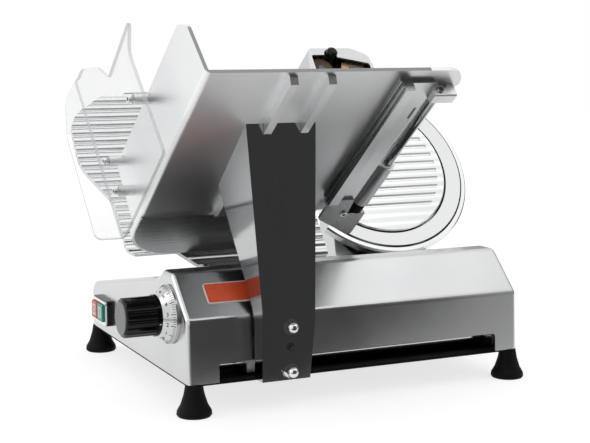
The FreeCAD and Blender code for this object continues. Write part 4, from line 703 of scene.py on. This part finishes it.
# The table's ear behind the top of the rod, with the block on it that holds the rod
EAR_S = (413.0, 443.2)
EAR_Y = (30.0, 75.0)
EAR_N = 124.05
EAR_THICK = 4.3
EAR_ROUND = 0.6
EAR_CORNER_R = 24.0
EAR_CORNER_STEPS = 12
EAR_CUT = 5.0                   # the ear's low corner is cut off by this much
EAR_CUT_BELLY = 1.5
BLOCK_SIZE = (16.3, 14.6, 2.0)
BLOCK_AT = on_slope(411.85, 40.1, 116.7)
BLOCK_LENGTH = 27.9
BLOCK_ROUND = 1.2

# Screws of the two rod brackets: place, the axis that goes with Y across the head, and the
# head's radius, height and round
BRACKET_SCREWS = ((on_slope(420.0, 49.0, 116.5), N, 4.4, 0.8, 0.3),
                  (on_slope(167.0, 35.3, 116.0), D, 4.6, 2.4, 0.5))
BRACKET_SOCKET = 4.6            # across flats
GUARD_SCREWS = ((289.0, 204.5), (169.0, 203.0), (179.0, 156.0))
GUARD_SCREW_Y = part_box("guard_screws")[0][1] * 1000.0
GUARD_SOCKET = 4.0


def rail_side(bm):
    bar(bm, [[bm.verts.new(on_slope(s, y, n)) for y, n in RAIL_PROFILE] for s in RAIL_S])


# The rail's slot as a flat dark patch: painted shade for the recess
def rail_slot(bm):
    slab(bm, rounded(*RAIL_SLOT), RAIL_SLOT_AT, Y, D, INK)


def foot_hole(bm):
    """Painted shade of the carriage foot's spare hole, seen through the hole in the arm: a flat dark disc.
    """
    slab(bm, circle(FOOT_HOLE_R), FOOT_HOLE_AT, Y, Z, FOOT_HOLE_THICK)


def pusher_rod_shaft(bm):
    """The pusher's rod with its ends chamfered."""
    start, end = ROD_S
    small = ROD_R - ROD_CHAMFER
    turns = [2 * math.pi * i / ROD_SIDES for i in range(ROD_SIDES)]
    bar(bm, [[bm.verts.new(on_slope(s, ROD_Y + radius * math.cos(turn), ROD_N + radius * math.sin(turn)))
              for turn in turns]
             for s, radius in ((start, small), (start + ROD_CHAMFER, ROD_R), (end - ROD_CHAMFER, ROD_R),
                               (end, small))])


def rod_end_bracket(bm):
    (low, top), (near, far) = EAR_S, EAR_Y
    turns = [math.pi / 2 * i / EAR_CORNER_STEPS for i in range(EAR_CORNER_STEPS + 1)]
    corner = [(top - EAR_CORNER_R * (1 - math.cos(turn)), far - EAR_CORNER_R * (1 - math.sin(turn)))
              for turn in turns]
    cut = [(low + EAR_CUT, far), (low + EAR_CUT_BELLY, far - EAR_CUT_BELLY), (low, far - EAR_CUT)]
    outline = [(low, near), (top, near)] + corner + cut
    slab(bm, outline, on_slope(0.0, 0.0, EAR_N), D, Y, EAR_THICK, EAR_ROUND)
    slab(bm, rounded(*BLOCK_SIZE), BLOCK_AT, N, D, BLOCK_LENGTH, BLOCK_ROUND)


def bracket_screws(bm):
    for at, along, radius, height, bevel in BRACKET_SCREWS:
        slab(bm, circle(radius), at, Y, along, height, bevel)


# Flat dark hexagons paint the shade inside the bracket screws' sockets
def bracket_sockets(bm):
    for at, along, _, height, _ in BRACKET_SCREWS:
        slab(bm, hexagon(BRACKET_SOCKET), at + Y.cross(along) * height / 1000.0, Y, along, INK)


# Flat dark hexagons paint the shade inside the guard screws' sockets
def guard_screw_sockets(bm):
    for s, n in GUARD_SCREWS:
        slab(bm, hexagon(GUARD_SOCKET), on_slope(s, GUARD_SCREW_Y, n), D, N, INK)


# --- the pieces ---------------------------------------------------------------------------

add("name_plate_rim", name_plate_rim, "base", "white")
add("name_plate", name_plate, "base", "plate_red")
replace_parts(add("rod_end_bracket", rod_end_bracket, "carriage", "satin"), "rod_end_knob")
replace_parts(add("pusher_rod_shaft", pusher_rod_shaft, "carriage", "rod_metal"), "pusher_rod")
add("dial_cone", dial_cone, "base", "anodised")
add("dial_ticks", dial_ticks, "base", "print")
add("dial_numbers", dial_numbers, "base", "print")
add("knob_mark", knob_mark, "index", "white")
add("switch_bezel", switch_bezel, "base", "bright")
add("off_inlay", off_inlay, "off_switch", "white")
add("on_inlay", on_inlay, "on_switch", "white")
add("off_sign", off_sign, "off_switch", "red")
add("on_sign", on_sign, "on_switch", "green")
add("base_gasket", base_gasket, "base", "rubber")
rail = add("rail_side", rail_side, "carriage", "clamp")
add("foot_hole", foot_hole, "carriage", "print")
add("rail_slot", rail_slot, "carriage", "dark_cast")
add("bracket_screws", bracket_screws, "carriage", "bright")
add("bracket_sockets", bracket_sockets, "carriage", "print")
add("guard_screw_sockets", guard_screw_sockets, "carriage", "print")

# The rail's underside is as pale as the table's; its side keeps the darker metal as painted shade
rail.data.materials.append(LOOKS["table"])
for face in rail.data.polygons:
    face.material_index = int(-face.normal.dot(N) > SQUARE_ON)


# --- floor and world ----------------------------------------------------------------------

WHITE = (1.0, 1.0, 1.0)
FLOOR_SIZE = 8.0
FLOOR_GREY = (0.38, 0.38, 0.38)
FLOOR_FADE = (0.5, 2.2)         # distances from the middle between which the floor's glow changes
FLOOR_GLOW = (0.74, 0.85)       # near and far
AMBIENT = 0.75                  # the world's light on the part; it is white where it is seen


def new_object(name, vertices, faces):
    mesh = bpy.data.meshes.new(name)
    mesh.from_pydata(vertices, [], faces)
    obj = bpy.data.objects.new(name, mesh)
    bpy.context.scene.collection.objects.link(obj)
    return obj


def seen_rays(tree):
    """One for the rays of the camera, of reflections and through glass, and zero for the rest."""
    path = tree.nodes.new("ShaderNodeLightPath")
    total = path.outputs["Is Camera Ray"]
    for ray in ("Is Glossy Ray", "Is Transmission Ray"):
        both = tree.nodes.new("ShaderNodeMath")
        both.operation = "MAXIMUM"
        tree.links.new(total, both.inputs[0])
        tree.links.new(path.outputs[ray], both.inputs[1])
        total = both.outputs[0]
    return total


def floor_material():
    """A pale floor: it takes the object's shadow, and is white where the camera or metal sees it."""
    shader = Shader("floor", Base_Color=FLOOR_GREY, Roughness=0.9, Specular_IOR_Level=0.0,
                    Emission_Color=WHITE)
    place = shader.node("ShaderNodeTexCoord")
    away = shader.node("ShaderNodeVectorMath", operation="LENGTH")
    shader.link(place, "Object", away, 0)
    fade = shader.span(away, "Value", *FLOOR_FADE, *FLOOR_GLOW)
    glow = shader.node("ShaderNodeMath", operation="MULTIPLY")
    shader.link(fade, "Result", glow, 0)
    shader.tree.links.new(seen_rays(shader.tree), glow.inputs[1])
    shader.link(glow, "Value", shader.bsdf, "Emission Strength")
    return shader.material


floor = new_object("floor", [(x, y, 0.0) for x, y in oblong(FLOOR_SIZE, FLOOR_SIZE)], [(0, 1, 2, 3)])
floor.data.materials.append(floor_material())

world = bpy.data.worlds.new("studio")
bpy.context.scene.world = world
world.use_nodes = True
background = world.node_tree.nodes["Background"]
background.inputs["Color"].default_value = (*WHITE, 1.0)
level = world.node_tree.nodes.new("ShaderNodeMapRange")
level.inputs["To Min"].default_value = AMBIENT
level.inputs["To Max"].default_value = 1.0
world.node_tree.links.new(seen_rays(world.node_tree), level.inputs["Value"])
world.node_tree.links.new(level.outputs["Result"], background.inputs["Strength"])


# --- studio cards: dark sheets that only reflections show -----------------------------------

# The side card's outline in X and Z rises from the floor beside the part. Its shade changes with
# y - 0.9 x: dark toward the operator and far off, and lighter near the part's far end.
SIDE_LINE = ((0.30, 0.003), (0.90, 0.003), (1.12, 0.08), (1.22, 0.30), (1.22, 1.35))
SIDE_Y = (-0.7, 1.3)
SIDE_LEAN = -0.9
SIDE_FADE = (-0.36, -0.12)
SIDE_SHADE = (0.065, 0.47)
# The far card's outline in X and Y goes round the part at its back and its left. It is mid grey, and
# darker toward the floor.
FAR_LINE = ((1.10, 1.35), (0.20, 1.50), (-1.10, 1.30), (-1.45, 0.85), (-1.45, 0.45))
FAR_Z = (0.003, 0.8)
FAR_FADE = (0.0, 0.8)
FAR_SHADE = (0.15, 0.6)


def card(name, rows, shade):
    """A card from rows of points; shade() gives the node that drives its brightness."""
    vertices = [point for row in rows for point in row]
    width = len(rows[0])
    faces = [(i * width + k, i * width + k + 1, (i + 1) * width + k + 1, (i + 1) * width + k)
             for i in range(len(rows) - 1) for k in range(width - 1)]
    obj = new_object(name, vertices, faces)
    shader = Shader(name, Base_Color=(0.0, 0.0, 0.0), Specular_IOR_Level=0.0, Emission_Color=WHITE)
    shader.link(shade(shader), "Result", shader.bsdf, "Emission Strength")
    obj.data.materials.append(shader.material)
    obj.visible_camera = False
    obj.visible_diffuse = False
    obj.visible_shadow = False
    obj.visible_transmission = False


def side_shade(shader):
    place = shader.place()
    lean = shader.node("ShaderNodeMath", operation="MULTIPLY_ADD")
    lean.inputs[1].default_value = SIDE_LEAN
    shader.link(place, "X", lean, 0)
    shader.link(place, "Y", lean, 2)
    return shader.span(lean, "Value", *SIDE_FADE, *SIDE_SHADE, interpolation_type="SMOOTHSTEP")


def far_shade(shader):
    return shader.span(shader.place(), "Z", *FAR_FADE, *FAR_SHADE)


card("far_card", [[(x, y, z) for z in FAR_Z] for x, y in FAR_LINE], far_shade)
card("side_card", [[(x, y, z) for y in SIDE_Y] for x, z in SIDE_LINE], side_shade)


# --- lamps --------------------------------------------------------------------------------

def lamp(name, place, target, size, power):
    data = bpy.data.lights.new(name, "AREA")
    data.energy = power
    data.size = size
    obj = bpy.data.objects.new(name, data)
    obj.location = place
    obj.rotation_euler = (Vector(target) - Vector(place)).to_track_quat("-Z", "Y").to_euler()
    bpy.context.scene.collection.objects.link(obj)


lamp("key", (-0.6, -2.2, 1.5), (0.0, 0.0, 0.2), size=1.6, power=8.0)
lamp("top", (0.3, 0.3, 2.4), (0.0, 0.0, 0.1), size=2.2, power=5.0)
lamp("side", (1.8, 1.0, 1.9), (0.0, 0.0, 0.2), size=1.0, power=1.5)
